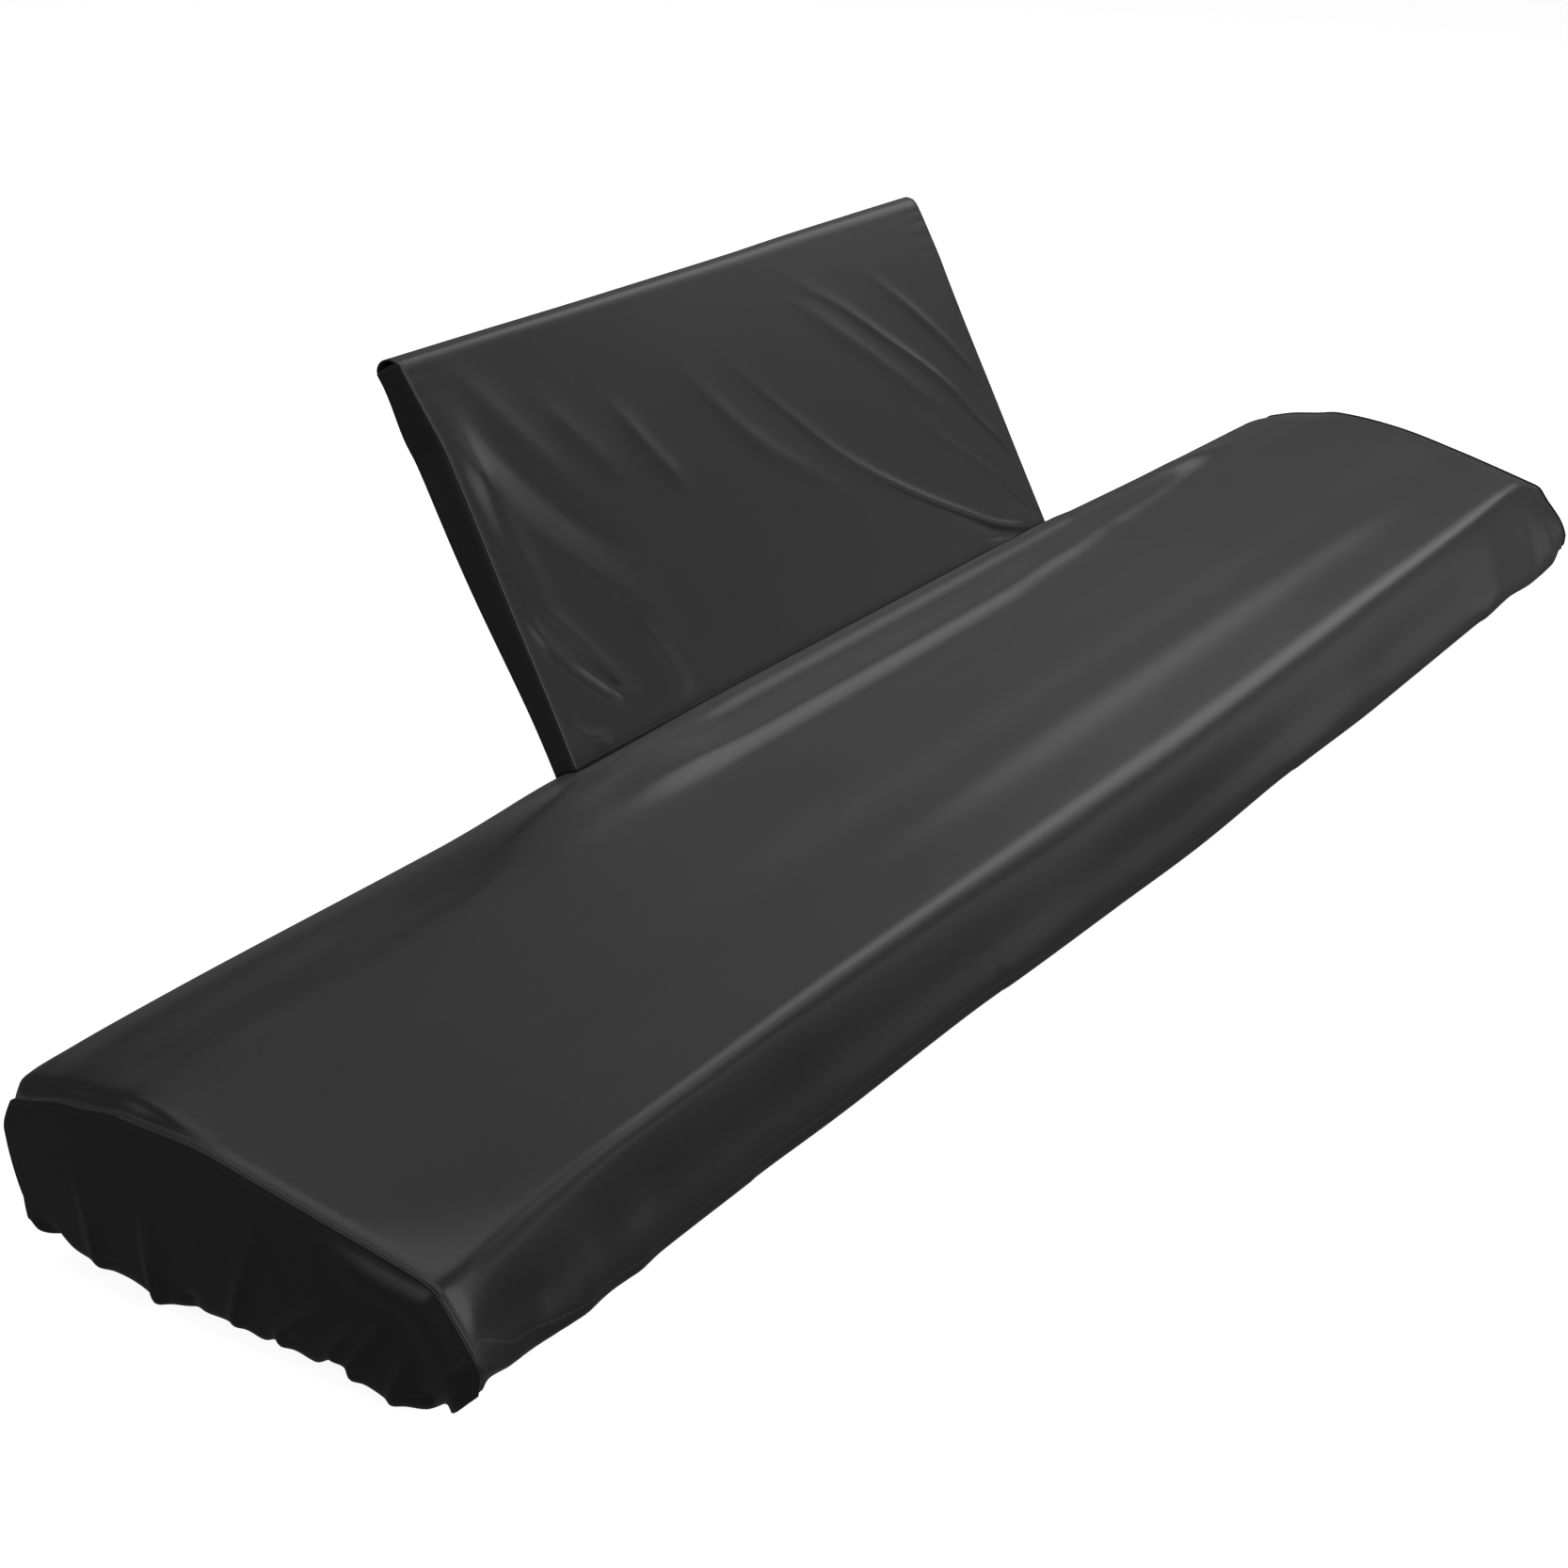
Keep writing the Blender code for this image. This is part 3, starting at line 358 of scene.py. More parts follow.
FAR_CREASES = [
    Crease(2.6, 6, 0.0, 0.0, 0.0, 0.8, [(100, -18), (98, 14), (92, 46)]),
    Crease(3.6, 6, 0.0, 0.0, 0.0, 0.8, [(66, -24), (60, 4), (50, 36)]),
    Crease(2.8, 5, 0.0, 0.0, 0.0, 0.8, [(35, -24), (30, 2), (22, 32)]),
    Crease(3.4, 5, 0.0, 0.0, 0.0, 0.8, [(2, -24), (-4, 4), (-14, 32)]),
    Crease(3.0, 5, 0.0, 0.0, 0.0, 0.8, [(-26, -26), (-32, 0), (-45, 26)]),
    Crease(3.2, 5, 0.0, 0.0, 0.0, 0.8, [(-60, -26), (-64, -2), (-70, 24)]),
    Crease(2.4, 5, 0.0, 0.0, 0.0, 0.8, [(-88, -22), (-90, -4), (-94, 18)]),
    Crease(-3.5, 8, 0.0, 0.0, 0.0, 0.8, [(48, -18), (48, -8), (48, 4)]),
]


def ease(low, high, value):
    """0 below low, 1 above high, smooth between."""
    t = np.clip((value - low) / (high - low), 0.0, 1.0)
    return t * t * (3 - 2 * t)


def along(rows, name, at):
    """A column of a table at places between its rows, smooth and never past the rows' values."""
    places = np.array([row[0] for row in rows], float)
    values = np.array([getattr(row, name) for row in rows], float)
    at = np.clip(at, places[0], places[-1])
    rise = np.diff(values) / np.diff(places)
    tangent = np.empty_like(values)
    tangent[0], tangent[-1] = rise[0], rise[-1]
    same = rise[:-1] * rise[1:] > 0
    both = np.where(same, rise[:-1] + rise[1:], 1.0)
    tangent[1:-1] = np.where(same, 2 * rise[:-1] * rise[1:] / both, 0.0)
    k = np.clip(np.searchsorted(places, at, side="right") - 1, 0, len(places) - 2)
    span = places[k + 1] - places[k]
    t = (at - places[k]) / span
    return (values[k] * (1 + 2 * t) * (1 - t) ** 2 + values[k + 1] * t * t * (3 - 2 * t)
            + span * (tangent[k] * t * (1 - t) ** 2 - tangent[k + 1] * t * t * (1 - t)))


def mix(a, b, t):
    return a + (b - a) * t


def smooth_line(points, cells):
    """A smooth line through the points, cut into the number of cells stated for each stretch.

    points has the shape (..., stretches + 1, 2), and the line the shape (..., cells + 1, 2)."""
    line = []
    size = np.linalg.norm(np.diff(points, axis=-2), axis=-1)[..., None]
    for i, count in enumerate(cells):
        p1, p2 = points[..., i, :], points[..., i + 1, :]
        span = size[..., i, :]
        before = points[..., i - 1, :] if i else p1
        left = size[..., i - 1, :] if i else span
        last = i + 2 == points.shape[-2]
        after = p2 if last else points[..., i + 2, :]
        right = span if last else size[..., i + 1, :]
        out = (p2 - before) * span / (left + span)
        into = (after - p1) * span / (right + span)
        for step in range(count):
            t = step / count
            line.append(p1 * (1 + 2 * t) * (1 - t) ** 2 + p2 * t * t * (3 - 2 * t)
                        + out * t * (1 - t) ** 2 - into * t * t * (1 - t))
    return np.stack(line + [points[..., -1, :]], axis=-2)


def crease_height(creases, a, b):
    """Height of all creases at the places (a, b) of a panel."""
    total = np.zeros_like(a)
    for crease in creases:
        path = smooth_line(np.array(crease.path, float), [PATH_CELLS] * (len(crease.path) - 1))
        lengths = np.linalg.norm(np.diff(path, axis=0), axis=1)
        reach = WIDTHS_AWAY * crease.width * (1 + abs(crease.lean))
        near = ((a > path[:, 0].min() - reach) & (a < path[:, 0].max() + reach)
                & (b > path[:, 1].min() - reach) & (b < path[:, 1].max() + reach))
        pa, pb = a[near], b[near]
        best = np.full(pa.shape, np.inf)
        side, done = np.zeros(pa.shape), np.zeros(pa.shape)
        run = 0.0
        for (x0, y0), (x1, y1), length in zip(path, path[1:], lengths):
            ux, uy = (x1 - x0) / length, (y1 - y0) / length
            t = np.clip((pa - x0) * ux + (pb - y0) * uy, 0, length)
            da, db = pa - x0 - ux * t, pb - y0 - uy * t
            gap = np.hypot(da, db)
            closer = gap < best
            best = np.where(closer, gap, best)
            side = np.where(closer, (ux * db - uy * da) / crease.width, side)
            done = np.where(closer, run + t, done)
            run += length
        done /= run
        width = crease.width * (1 - crease.taper * done) * (1 + crease.lean * np.tanh(2 * side))
        share = ease(-0.01, max(crease.grow, 0.01), done) * (1 - ease(1 - crease.die, 1.001, done))
        total[near] += crease.height * share / (1 + (best / width) ** 2) ** 2
    return total


# ---------------------------------------------------------------- surfaces

def hem_corners(y, z, inward, turned):
    """Tip, turn and rise of a hem, between hanging straight and tucked under."""
    straight = [(y, z), (y, z + HEM_ROUND), (y, z + 2 * HEM_ROUND)]
    tucked = [(y + inward * HEM_TURN, z + HEM_CURL), (y + inward * HEM_ROUND, z), (y, z + HEM_ROUND)]
    return [(mix(a[0], b[0], turned), mix(a[1], b[1], turned)) for a, b in zip(straight, tucked)]


def sections(x):
    """The main panel's outer line at each x, as (y, z), from the front hem over the top to the back hem."""
    f = FrontLine(*[along(FRONT, name, x) for name in FrontLine._fields])
    t = TopLine(*[along(TOP, name, x) for name in TopLine._fields])
    front = hem_corners(f.hem_y, f.hem_z, 1, f.turned)
    back = hem_corners(t.back_y, t.back_z, -1, f.turned)
    low = (f.edge_y - EDGE_UNDER[0] * f.edge_r, f.edge_z - EDGE_UNDER[1] * f.edge_r)
    fall = (mix(front[2][0], low[0], 0.5) - f.belly, mix(front[2][1], low[1], 0.5))
    edge_top = (f.edge_y + EDGE_OVER[0] * f.edge_r, f.edge_z + EDGE_OVER[1] * f.edge_r)
    slot_z = t.crest_z - CREST_FALL
    slot_mid = (mix(SLOT_FRONT_Y, t.rear_y, 0.5) + SLOT_ROUND[0], mix(slot_z, t.rear_z, 0.5) + SLOT_ROUND[1])
    corners = front + [fall, low, (f.edge_y, f.edge_z), edge_top, (SLOPE_Y, t.slope_z),
                       (SHOULDER_Y, t.shoulder_z), (HUMP_Y, t.hump_z), (TROUGH_Y, t.trough_z),
                       (CREST_Y, t.crest_z), (SLOT_FRONT_Y, slot_z), slot_mid, (t.rear_y, t.rear_z),
                       (t.bulge_y, BULGE_Z)] + back[::-1]
    full = [np.stack([np.broadcast_to(v, x.shape) for v in corner], axis=-1) for corner in corners]
    return smooth_line(np.stack(full, axis=-2), CELLS)


def place(name):
    return PLACES.index(name)


def column(name):
    """Number of the column that lies on a named place of the section."""
    return sum(CELLS[:place(name)])


def column_places():
    """For each column, its place in the section as a number: 2.5 is halfway from place 2 to place 3."""
    found = [i + step / count for i, count in enumerate(CELLS) for step in range(count)]
    return np.array(found + [len(CELLS)])


def outward(lines):
    """Unit normals of section lines, pointing out of the cover."""
    slope = np.gradient(lines, axis=-2)
    normal = np.stack([-slope[..., 1], slope[..., 0]], axis=-1)
    return normal / np.linalg.norm(normal, axis=-1)[..., None]


def graded(first, growth, pitch, reach):
    """Distances from an end: fine steps that grow to the pitch, up to the reach."""
    found, step = [0.0], first
    while found[-1] < reach:
        found.append(found[-1] + step)
        step = min(step * growth, pitch)
    return found[:-1]


def stations():
    """x of the main panel's rows: fine at the ends, and on the ends of the slot."""
    fine = graded(FIRST_PITCH, PITCH_GROWTH, PITCH, FINE_REACH)
    stops = [NEAR_X + fine[-1], SLOT[0], SLOT[1], FAR_X - fine[-1]]
    middle = []
    for start, stop in zip(stops, stops[1:]):
        count = round((stop - start) / PITCH)
        middle += [start + (stop - start) * i / count for i in range(count)]
    near = [NEAR_X + inset for inset in fine]
    return np.array(near[:-1] + middle + [FAR_X - inset for inset in reversed(fine)])


def end_drop(x, p):
    """How far the cloth has sunk towards the end seams."""
    above_hem = 1 - ease(place("bulge"), place("back_hem"), p)
    front = ease(place("front_hem"), place("edge_low"), p) * above_hem
    back = ease(place("shoulder"), place("hump"), p) * above_hem
    near, far = (drop[0] * front + (drop[1] - drop[0]) * back for drop in (NEAR_DROP, FAR_DROP))
    near_share = np.where(x - NEAR_X < NEAR_ROLL[-1].inset, along(NEAR_ROLL, "drop", x - NEAR_X), 0.0)
    far_share = np.where(FAR_X - x < FAR_ROLL[-1].inset, along(FAR_ROLL, "drop", FAR_X - x), 0.0)
    return near * near_share + far * far_share


def run_down(points):
    """Length of cloth from the first row of points to each one."""
    steps = np.linalg.norm(np.diff(points, axis=0), axis=-1)
    return np.concatenate([np.zeros_like(steps[:1]), np.cumsum(steps, axis=0)])


def run_over(points):
    """Length of cloth from the first column of points to each one."""
    steps = np.linalg.norm(np.diff(points, axis=1), axis=-1)
    return np.concatenate([np.zeros_like(steps[:, :1]), np.cumsum(steps, axis=1)], axis=1)


def seam_ridge(inset):
    """Height of the soft ridge where the cloth folds over the seam's allowance, by distance from the seam."""
    return RIDGE_HEIGHT * np.exp(-((inset - RIDGE_INSET) / RIDGE_WIDTH) ** 2)


def pucker(gap, run):
    """Small uneven ripples that the seam's thread draws into the cloth beside it."""
    wave = np.sin(run / PUCKER_WAVE + 1.7 * np.sin(run / PUCKER_SWAY))
    return PUCKER * wave * (0.6 + 0.4 * np.sin(run / PUCKER_SWELL + 1.0)) * np.exp(-gap / PUCKER_REACH)


def between(low, high, soft, p):
    """1 between two named places, falling to 0 over a soft stretch inside them."""
    return ease(place(low), place(low) + soft, p) * (1 - ease(place(high) - soft, place(high), p))


def main_surface():
    """Points of the main panel, from one end seam to the other and from hem to hem."""
    xs = stations()
    lines = sections(np.clip(xs, NEAR_X + SEAM_FLAT, FAR_X - SEAM_FLAT))
    x = np.repeat(xs[:, None], lines.shape[1], axis=1)
    p = np.repeat(column_places()[None, :], len(xs), axis=0)
    y, z = lines[..., 0], lines[..., 1]
    inset = np.minimum(x - NEAR_X, FAR_X - x)
    lift = seam_ridge(inset) * between("edge_low", "bulge", 1, p) - end_drop(x, p)
    lift = lift + pucker(inset, run_over(lines)) * ease(0, PUCKER_START, inset)
    fall = ease(0, FALL_FADE, inset - SEAM_FLAT) * between("front_turn", "edge", 1, p)
    lift = lift + crease_height(FALL_CREASES, x, z) * fall
    top = ease(0, TOP_FADE, inset - SEAM_FLAT) * between("edge", "slot_mid", 1, p)
    lift = lift + crease_height(TOP_CREASES, x, y) * top
    normal = outward(lines)
    return np.stack([x, y + normal[..., 0] * lift, z + normal[..., 1] * lift], axis=-1)


def resample(line, count):
    """The line cut again into count even cells."""
    lengths = run_down(line)
    want = np.linspace(0.0, lengths[-1], count + 1)
    return np.stack([np.interp(want, lengths, line[:, i]) for i in range(line.shape[1])], axis=-1)


def seam_edges(seam):
    """The sewn edge of an end panel, cut into its front, top and back; front and back end in the hem."""
    first, last = column("edge"), column("slot_rear")
    low, high = column("front_hem"), column("back_hem")
    front = np.concatenate([resample(seam[low:first + 1][::-1], DOWN),
                            resample(seam[:low + 1][::-1], HEM_ROWS)[1:]])
    back = np.concatenate([resample(seam[last:high + 1], DOWN), resample(seam[high:], HEM_ROWS)[1:]])
    return front, resample(seam[first:last + 1], ACROSS), back


def end_surface(seam, dips, creases, x_seam, side):
    """Points of an end panel: a patch between its sewn edge and the gathered hem, which is turned under."""
    front, top, back = seam_edges(seam + outward(seam) * SEAM_PROUD)
    u = np.linspace(0, 1, ACROSS + 1)
    turned = ease(CORNER_FLAT, CORNER_SHARE, u) * ease(CORNER_FLAT, CORNER_SHARE, 1 - u)
    low = mix(front[DOWN], back[DOWN], u[:, None])
    tip_y = mix(front[-1], back[-1], u[:, None])[:, 0]
    tip_z = along(dips, "z", tip_y)
    hem = np.stack([low[:, 0], low[:, 1] + (tip_z + HEM_RISE - low[:, 1]) * turned], axis=-1)
    v = np.linspace(0, 1, DOWN + 1)[:, None]
    sides = mix(front[:DOWN + 1, None, :], back[:DOWN + 1, None, :], u[None, :, None])
    corners = mix(mix(top[0], top[-1], u[:, None])[None], low[None], v[..., None])
    flat = sides + mix(top[None], hem[None], v[..., None]) - corners
    rim = ease(0, CREASE_START, v) * ease(0, CORNER_SHARE / 2, u) * ease(0, CORNER_SHARE / 2, 1 - u)
    bulge = END_BULGE * 4 * u * (1 - u) * np.sin(BULGE_TURN * v)
    inside = np.logaddexp(0, np.minimum(run_down(flat), run_over(flat)) - RIM_START) / RIM_REACH
    puff = RIM_PUFF * inside * np.exp(0.5 - inside ** 2 / 2)
    puff = puff * ease(0, 1, (RIM_FADE - flat[..., 0]) / RIM_SOFT)
    out = SEAM_OUT + bulge + puff + crease_height(creases, flat[..., 0], flat[..., 1]) * rim
    hang = mix(front[DOWN + HEM_ROWS // 2], back[DOWN + HEM_ROWS // 2], u[:, None])
    level = np.stack([out[-1], hem[:, 0], hem[:, 1]], axis=-1)
    turn = mix(np.stack([out[-1], hang[:, 0], hang[:, 1]], axis=-1),
               np.stack([out[-1] - HEM_CURL, tip_y, tip_z], axis=-1), turned[:, None])
    tip = mix(np.stack([out[-1], tip_y, tip_z], axis=-1),
              np.stack([out[-1] - HEM_TURN, tip_y, tip_z + HEM_CURL], axis=-1), turned[:, None])
    bend = 2 * turn - (level + tip) / 2
    t = np.linspace(0, 1, HEM_ROWS + 1)[1:, None, None]
    lip = level * (1 - t) ** 2 + bend * 2 * t * (1 - t) + tip * t * t
    points = np.concatenate([np.concatenate([out[..., None], flat], axis=-1), lip])
    points[..., 0] = x_seam + side * points[..., 0]
    return points


def sleeve_place(x, up, across):
    """A place in the sleeve, up its slope and across its depth."""
    y, z = SLEEVE_FOOT
    y, z = y + up * sin(LEAN) + across * cos(LEAN), z + up * cos(LEAN) - across * sin(LEAN)
    return np.stack([x, y, z], axis=-1)


def depth_at(up, top):
    """Depth of the sleeve, drawn in at its foot and under the turn of its top edge."""
    foot = (FOOT_DEPTH - SLEEVE_DEPTH) * (1 - ease(0, FOOT_REACH, up))
    return SLEEVE_DEPTH + foot + (TOP_DEPTH - SLEEVE_DEPTH) * ease(top - TOP_REACH, top - TOP_TURN, up)


def sleeve_width(up, u):
    """x in the sleeve at a height and a share of its width."""
    return mix(along(SLEEVE_SIDES, "left", up), along(SLEEVE_SIDES, "right", up), u)


def sleeve_top(u):
    """Height of the sleeve's top edge at a share of its width."""
    return along(SLEEVE_TOP, "up", mix(SLEEVE_SIDES[0].left, SLEEVE_SIDES[0].right, u))


def stand_front_surface(wide=320, high=122, turn=14):
    """Points of the sleeve's front, from its foot up and over the turn of its top edge."""
    u = np.linspace(0, 1, wide + 1)[None, :]
    top = sleeve_top(u)
    rise = np.linspace(0, 1, high + 1)[:, None] * (top - TOP_TURN)
    angle = TURN_ANGLE * np.linspace(0, 1, turn + 1)[1:, None]
    up = np.concatenate([rise, top - TOP_TURN + TOP_TURN * np.sin(angle)])
    across = np.concatenate([np.zeros_like(rise), TOP_TURN * (1 - np.cos(angle)) + np.zeros_like(top)])
    x = sleeve_width(up, u)
    ends = ease(0, FRONT_FOOT, up) * ease(0, FRONT_TOP, top - up)
    rim = ease(0, FRONT_SIDE, u) * ease(0, FRONT_SIDE, 1 - u) * ends
    rim[high + 1:] *= 1 - ease(0, 0.5, np.linspace(0, 1, turn))[:, None]
    gap = np.minimum(x - x[:, :1], x[:, -1:] - x)
    drawn = pucker(gap, up) * ease(0, PUCKER_START, gap) * ends
    drawn[high + 1:] = 0.0
    return sleeve_place(x, up, across - crease_height(STAND_CREASES, x, up) * rim - drawn)


def stand_back_surface(wide=140, high=60):
    """Points of the sleeve's back, from inside the slot up to the end of the front's turn."""
    u = np.linspace(0, 1, wide + 1)[None, :]
    top = sleeve_top(u)
    stop = top - TOP_TURN + TOP_TURN * sin(TURN_ANGLE) - BACK_SHORT
    up = mix(-BACK_TUCK, stop, np.linspace(0, 1, high + 1)[:, None])
    x = sleeve_width(np.maximum(up, 0.0), u)
    ends = ease(0, BACK_FOOT, up) * ease(*BACK_TOP, top - up)
    rim = ease(0, BACK_SIDE, u) * ease(0, BACK_SIDE, 1 - u) * ends
    return sleeve_place(x, up, depth_at(up, top) + crease_height(BACK_CREASES, x, up) * rim)


def gusset_surface(side, high=90, deep=12, spare=6):
    """A side strip between the sleeve's front and back, standing on the main panel."""
    name = "left" if side < 0 else "right"
    x_foot = np.array(getattr(SLEEVE_SIDES[0], name))
    line = sections(x_foot[None])[0]
    y, z = (line[column("slot_front") - spare:column("slot_rear") + spare] - SLEEVE_FOOT).T
    foot_depth, foot_up = y * cos(LEAN) - z * sin(LEAN), y * sin(LEAN) + z * cos(LEAN)
    k = np.linspace(0, 1, deep + 1)[None, :]
    start = np.interp(THICKNESS + (FOOT_DEPTH - 2 * THICKNESS) * k, foot_depth, foot_up)
    top = along(SLEEVE_TOP, "up", np.array(getattr(SLEEVE_SIDES[-1], name)))
    up = mix(start, top - GUSSET_SHORT, np.linspace(0, 1, high + 1)[:, None])
    depth = THICKNESS + (depth_at(up, top) - 2 * THICKNESS) * k
    x = along(SLEEVE_SIDES, name, np.maximum(up, 0.0))
    return sleeve_place(x, up, depth)


# ---------------------------------------------------------------- meshes and finishes

SEAM_INSET = 2.6            # of a row of stitches inside a sewn edge
HEM_INSET = 21.0            # of the hem's row of stitches from the cut edge that is turned under
WALE, COURSE = 0.0008, 0.0006                       # size of a knit loop, in metres like those below
SEAM_PITCH, HEM_PITCH = 0.0028, 0.0034              # from one stitch to the next
THREAD, DENT = 0.0005, 0.0016                       # half widths of the thread and of the dent beside it
LOOP_DEPTH, THREAD_DEPTH = 0.000006, 0.00012
# LOOP_SHADE_TONE paints shade into the knit's furrows and a painted highlight on its loops' crowns.
LOOP_SHADE_TONE, THREAD_TONE, THREAD_GLOSS = 0.3, 0.35, 0.2
LEG_SLANT = 1.2             # of a loop's legs, in courses for each wale
# The streaks are painted shade of small ripples along the cloth. The patches and the grain are the cloth's
# own uneven tone.
PATCH_SCALE, GRAIN_SCALE, RIPPLE_SHADE_SCALE = 7.0, 420.0, (160.0, 9.0, 1.0)
PATCH_TONE, GRAIN_TONE, RIPPLE_SHADE_TONE, PATCH_GLOSS = 0.9, 0.6, 0.5, 0.08
STITCH_SHARE, STITCH_END = 0.38, 12.0               # half a stitch in pitches, and how sharply it ends
SHEEN_WEIGHT, SHEEN_ROUGHNESS = 0.15, 0.4
Finish = namedtuple("Finish", "name colour roughness unevenness")
TOP_FINISH = Finish("top_stretch_knit", (0.026, 0.0255, 0.028), 0.288, 0.5)
# The ends and the sleeve's side strips, which face away from the lamps, get a darker colour than the top:
# painted shade.
SHADED_END_FINISH = Finish("end_stretch_knit_painted_shade", (0.018, 0.0175, 0.018), 0.42, 0.5)
SLEEVE_FINISH = Finish("sleeve_stretch_knit", (0.025, 0.0245, 0.027), 0.3, 0.4)


def stitch_row(points, edges, inset):
    """Distance of each place from a row of stitches inside the named edges, and its place along the row."""
    down, over = run_down(points), run_over(points)
    choices = {"first_row": (down, over), "last_row": (down[-1] - down, over),
               "first_column": (over, down), "last_column": (over[:, -1:] - over, down)}
    gap, run = choices[edges[0]]
    for edge in edges[1:]:
        other, its_run = choices[edge]
        gap, run = np.minimum(gap, other), np.where(other < gap, its_run, run)
    return gap - inset, run


def cloth_piece(name, node, points, paint, rows_sewn, flip=False, open_cells=None):
    """A sheet of cloth from a grid of points on its outer face, with its own thickness.

    rows_sewn has the edges that each row of stitches follows and its distance inside them. open_cells marks
    the cells that are cut out."""
    rows, columns = points.shape[:2]
    places = (points.reshape(-1, 3) - ORIGIN) * MM
    numbers = np.arange(rows * columns).reshape(rows, columns)
    corners = [numbers[:-1, :-1], numbers[1:, :-1], numbers[1:, 1:], numbers[:-1, 1:]]
    faces = np.stack(corners[::-1] if flip else corners, axis=-1)
    keep = np.ones(faces.shape[:2], bool) if open_cells is None else ~open_cells
    faces = faces[keep]
    used = np.unique(faces)
    renumber = np.zeros(rows * columns, int)
    renumber[used] = np.arange(len(used))
    mesh = bpy.data.meshes.new(name)
    mesh.from_pydata(places[used].tolist(), [], renumber[faces].tolist())
    cloth = np.stack([run_over(points), run_down(points)], axis=-1).reshape(-1, 2) * MM
    layer = mesh.uv_layers.new(name="cloth")
    loops = np.empty(len(mesh.loops), int)
    mesh.loops.foreach_get("vertex_index", loops)
    layer.data.foreach_set("uv", cloth[used][loops].astype(np.float32).ravel())
    for row_name, (edges, inset) in rows_sewn.items():
        for kind, values in zip(("gap", "run"), stitch_row(points, edges, inset)):
            measure = mesh.attributes.new(f"{row_name}_{kind}", "FLOAT", "POINT")
            measure.data.foreach_set("value", (values.ravel()[used] * MM).astype(np.float32))
    mesh.shade_smooth()
    piece = bpy.data.objects.new(name, mesh)
    bpy.context.scene.collection.objects.link(piece)
    mesh.materials.append(paint)
    wall = piece.modifiers.new("thickness", "SOLIDIFY")
    wall.thickness = THICKNESS * MM
    wall.offset = -1.0
    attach(piece, "root")
    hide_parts(node)


def new_group(name, inputs, outputs):
    """An empty node group with number or vector inputs (and their defaults) and number outputs."""
    group = bpy.data.node_groups.new(name, "ShaderNodeTree")
    for label, default in inputs:
        kind = "NodeSocketVector" if default is None else "NodeSocketFloat"
        socket = group.interface.new_socket(label, in_out="INPUT", socket_type=kind)
        if default is not None:
            socket.default_value = default
    for label in outputs:
        group.interface.new_socket(label, in_out="OUTPUT", socket_type="NodeSocketFloat")
    return group, group.nodes.new("NodeGroupInput").outputs, group.nodes.new("NodeGroupOutput").inputs


def reckon(tree, operation, *values, clamp=False):
    """A Math node's output, from sockets or plain numbers."""
    node = tree.nodes.new("ShaderNodeMath")
    node.operation = operation
    node.use_clamp = clamp
    for socket, value in zip(node.inputs, values):
        if isinstance(value, bpy.types.NodeSocket):
            tree.links.new(value, socket)
        else:
            socket.default_value = value
    return node.outputs[0]


def speckle(tree, spot, scale, detail):
    """A noise texture's value at a spot."""
    node = tree.nodes.new("ShaderNodeTexNoise")
    node.inputs["Scale"].default_value = scale
    node.inputs["Detail"].default_value = detail
    tree.links.new(spot, node.inputs["Vector"])
    return node.outputs[0]


def knit_group():
    """Loops of the knit: columns of small slanted legs, one leg up and one down in each column."""
    group, given, found = new_group("knit_loops", [("Cloth", None), ("Wale", WALE), ("Course", COURSE)],
                                    ["Height"])
    parts = group.nodes.new("ShaderNodeSeparateXYZ")
    group.links.new(given["Cloth"], parts.inputs[0])
    column_share = reckon(group, "DIVIDE", parts.outputs[0], given["Wale"])
    leg = reckon(group, "PINGPONG", column_share, 0.5)
    slant = reckon(group, "MULTIPLY", leg, LEG_SLANT)
    course_share = reckon(group, "ADD", reckon(group, "DIVIDE", parts.outputs[1], given["Course"]), slant)
    loop = reckon(group, "SINE", reckon(group, "MULTIPLY", course_share, 2 * pi))
    furrow = reckon(group, "SINE", reckon(group, "MULTIPLY", leg, 2 * pi))
    crown = reckon(group, "ADD", reckon(group, "MULTIPLY", loop, 0.5), 0.5)
    group.links.new(reckon(group, "MULTIPLY", crown, furrow), found["Height"])
    return group


def tone_and_ripple_shade_group():
    """Slow uneven tone over a panel, faint streaks along its length painted as the shade of small ripples,
    and a slight change of gloss.
    """
    group, given, found = new_group("cloth_unevenness", [("Place", None), ("Cloth", None), ("Amount", 0.1)],
                                    ["Tone", "Gloss"])
    patches = speckle(group, given["Place"], PATCH_SCALE, 3.0)
    stretched = group.nodes.new("ShaderNodeVectorMath")
    stretched.operation = "MULTIPLY"
    stretched.inputs[1].default_value = RIPPLE_SHADE_SCALE
    group.links.new(given["Cloth"], stretched.inputs[0])
    ripple_shade = speckle(group, stretched.outputs[0], 1.0, 2.0)
    grain = speckle(group, given["Place"], GRAIN_SCALE, 2.0)
    mixed = reckon(group, "ADD", reckon(group, "MULTIPLY", patches, PATCH_TONE),
                   reckon(group, "MULTIPLY", ripple_shade, RIPPLE_SHADE_TONE))
    mixed = reckon(group, "ADD", mixed, reckon(group, "MULTIPLY", grain, GRAIN_TONE))
    swing = reckon(group, "SUBTRACT", mixed, 1.0)
    tone = reckon(group, "ADD", reckon(group, "MULTIPLY", swing, given["Amount"]), 1.0)
    group.links.new(tone, found["Tone"])
    gloss = reckon(group, "MULTIPLY", reckon(group, "SUBTRACT", patches, 0.5), PATCH_GLOSS)
    group.links.new(reckon(group, "MULTIPLY", gloss, given["Amount"]), found["Gloss"])
    return group


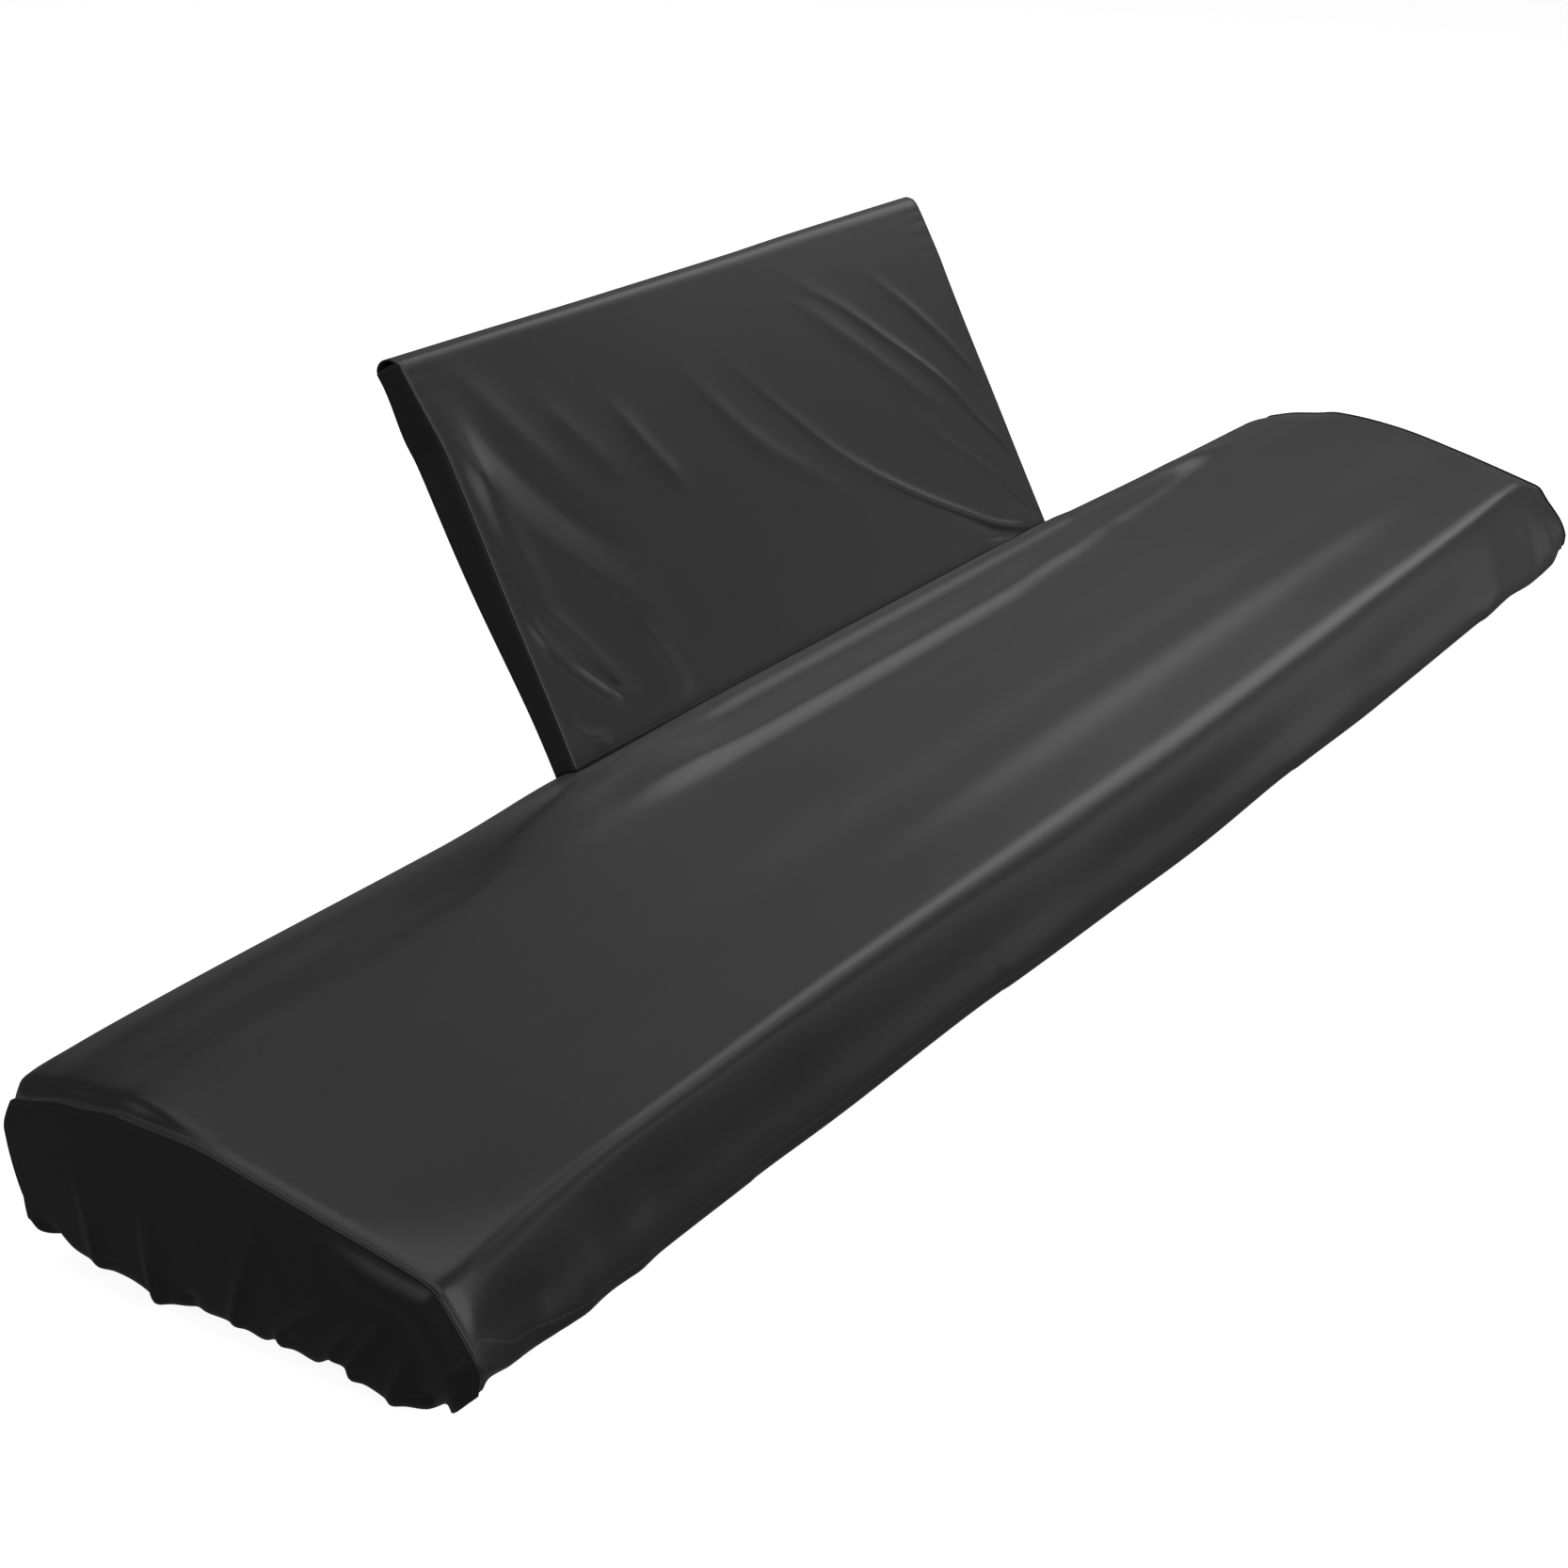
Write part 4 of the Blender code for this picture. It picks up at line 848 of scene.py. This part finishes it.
def stitch_group():
    """One row of stitches, from the distance to the row and the run along it, with the dent they pull."""
    group, given, found = new_group("stitch_row", [("Gap", 1.0), ("Run", 0.0), ("Pitch", SEAM_PITCH),
                                                   ("Thread", THREAD), ("Dent", DENT)], ["Mask", "Height"])
    share = reckon(group, "FRACT", reckon(group, "DIVIDE", given["Run"], given["Pitch"]))
    middle = reckon(group, "ABSOLUTE", reckon(group, "SUBTRACT", share, 0.5))
    length = reckon(group, "MULTIPLY", reckon(group, "SUBTRACT", STITCH_SHARE, middle), STITCH_END)
    length = reckon(group, "SMOOTH_MIN", length, 1.0, 0.2, clamp=True)
    away = reckon(group, "ABSOLUTE", given["Gap"])
    body = reckon(group, "SUBTRACT", 1.0, reckon(group, "DIVIDE", away, given["Thread"]), clamp=True)
    mask = reckon(group, "MULTIPLY", length, body)
    dent = reckon(group, "SUBTRACT", 1.0, reckon(group, "DIVIDE", away, given["Dent"]), clamp=True)
    dent = reckon(group, "MULTIPLY", dent, dent)
    group.links.new(reckon(group, "MULTIPLY", mask, 2.0, clamp=True), found["Mask"])
    group.links.new(reckon(group, "SUBTRACT", mask, dent), found["Height"])
    return group


def cloth_paint(finish, groups):
    """Black satin knit: loops with painted shade in their furrows, uneven tone with painted ripple streaks,
    and rows of stitches beside its seams and hems.
    """
    paint = bpy.data.materials.new(finish.name)
    paint.use_nodes = True
    tree = paint.node_tree
    shader = tree.nodes["Principled BSDF"]
    shader.inputs["Sheen Weight"].default_value = SHEEN_WEIGHT
    shader.inputs["Sheen Roughness"].default_value = SHEEN_ROUGHNESS

    def use(group, **links):
        node = tree.nodes.new("ShaderNodeGroup")
        node.node_tree = groups[group]
        for label, source in links.items():
            if isinstance(source, bpy.types.NodeSocket):
                tree.links.new(source, node.inputs[label])
            else:
                node.inputs[label].default_value = source
        return node.outputs

    def measure(label):
        node = tree.nodes.new("ShaderNodeAttribute")
        node.attribute_name = label
        return node.outputs["Fac"]

    def bump(height, depth):
        node = tree.nodes.new("ShaderNodeBump")
        node.inputs["Strength"].default_value = 1.0
        node.inputs["Distance"].default_value = depth
        tree.links.new(height, node.inputs["Height"])
        return node

    cloth = tree.nodes.new("ShaderNodeUVMap")
    cloth.uv_map = "cloth"
    spot = tree.nodes.new("ShaderNodeTexCoord").outputs["Object"]
    knit = use("knit", Cloth=cloth.outputs["UV"], Wale=WALE, Course=COURSE)
    uneven = use("tone_and_ripple_shade", Place=spot, Cloth=cloth.outputs["UV"], Amount=finish.unevenness)
    rows = [use("stitch", Gap=measure(f"{row}_gap"), Run=measure(f"{row}_run"), Pitch=pitch, Thread=THREAD)
            for row, pitch in (("seam", SEAM_PITCH), ("hem", HEM_PITCH))]
    thread = reckon(tree, "MAXIMUM", rows[0]["Mask"], rows[1]["Mask"])
    # painted shade and highlight: the knit is darker where its loops sink and lighter on their crowns
    loop_shade_tone = reckon(tree, "ADD", reckon(tree, "MULTIPLY", knit["Height"], LOOP_SHADE_TONE), 1.0 - LOOP_SHADE_TONE / 3)
    tone = reckon(tree, "MULTIPLY", uneven["Tone"], loop_shade_tone)
    tone = reckon(tree, "ADD", tone, reckon(tree, "MULTIPLY", thread, THREAD_TONE))
    shade = tree.nodes.new("ShaderNodeVectorMath")
    shade.operation = "SCALE"
    shade.inputs[0].default_value = finish.colour
    tree.links.new(tone, shade.inputs["Scale"])
    tree.links.new(shade.outputs[0], shader.inputs["Base Color"])
    gloss = reckon(tree, "ADD", reckon(tree, "MULTIPLY", thread, THREAD_GLOSS),
                   reckon(tree, "ADD", uneven["Gloss"], finish.roughness))
    tree.links.new(gloss, shader.inputs["Roughness"])
    loops = bump(knit["Height"], LOOP_DEPTH)
    sewn = bump(reckon(tree, "ADD", rows[0]["Height"], rows[1]["Height"]), THREAD_DEPTH)
    tree.links.new(loops.outputs[0], sewn.inputs["Normal"])
    tree.links.new(sewn.outputs[0], shader.inputs["Normal"])
    return paint


def make_cover():
    """All seven pieces of the cover, each in the place of its solid."""
    groups = {"knit": knit_group(), "tone_and_ripple_shade": tone_and_ripple_shade_group(), "stitch": stitch_group()}
    top_cloth = cloth_paint(TOP_FINISH, groups)
    # painted shade: the darker copy of the knit for the ends and the side strips
    shaded_end_cloth = cloth_paint(SHADED_END_FINISH, groups)
    sleeve_cloth = cloth_paint(SLEEVE_FINISH, groups)
    points = main_surface()
    x_cell = (points[:-1, 0, 0] + points[1:, 0, 0]) / 2
    slot = np.zeros((points.shape[0] - 1, points.shape[1] - 1), bool)
    slot[(x_cell > SLOT[0]) & (x_cell < SLOT[1]), column("slot_front"):column("slot_rear")] = True
    cloth_piece("cover_top", "main_panel", points, top_cloth,
                {"seam": (("first_row", "last_row"), SEAM_INSET),
                 "hem": (("first_column", "last_column"), HEM_INSET)}, open_cells=slot)
    for name, node, row, dips, creases, x_seam, side in (
            ("cover_near_end", "end_panel_left", 0, NEAR_HEM, NEAR_CREASES, NEAR_X, -1),
            ("cover_far_end", "end_panel_right", -1, FAR_HEM, FAR_CREASES, FAR_X, 1)):
        end = end_surface(points[row, :, 1:], dips, creases, x_seam, side)
        cloth_piece(name, node, end, shaded_end_cloth,
                    {"seam": (("first_row", "first_column", "last_column"), SEAM_INSET),
                     "hem": (("last_row",), HEM_INSET)}, flip=side < 0)
    sides = {"seam": (("first_column", "last_column"), SEAM_INSET), "hem": (("first_row",), SEAM_INSET)}
    cloth_piece("sleeve_front", "stand_front_panel", stand_front_surface(), sleeve_cloth,
                sides, flip=True)
    cloth_piece("sleeve_back", "stand_back_panel", stand_back_surface(), sleeve_cloth,
                sides)
    for name, node, side in (("sleeve_near_side", "stand_gusset_left", -1),
                             ("sleeve_far_side", "stand_gusset_right", 1)):
        cloth_piece(name, node, gusset_surface(side), shaded_end_cloth,
                    sides, flip=side > 0)


place_camera()
place_lamps()
make_world()
make_floor()
make_cover()
bpy.context.scene.view_settings.view_transform = "Standard"
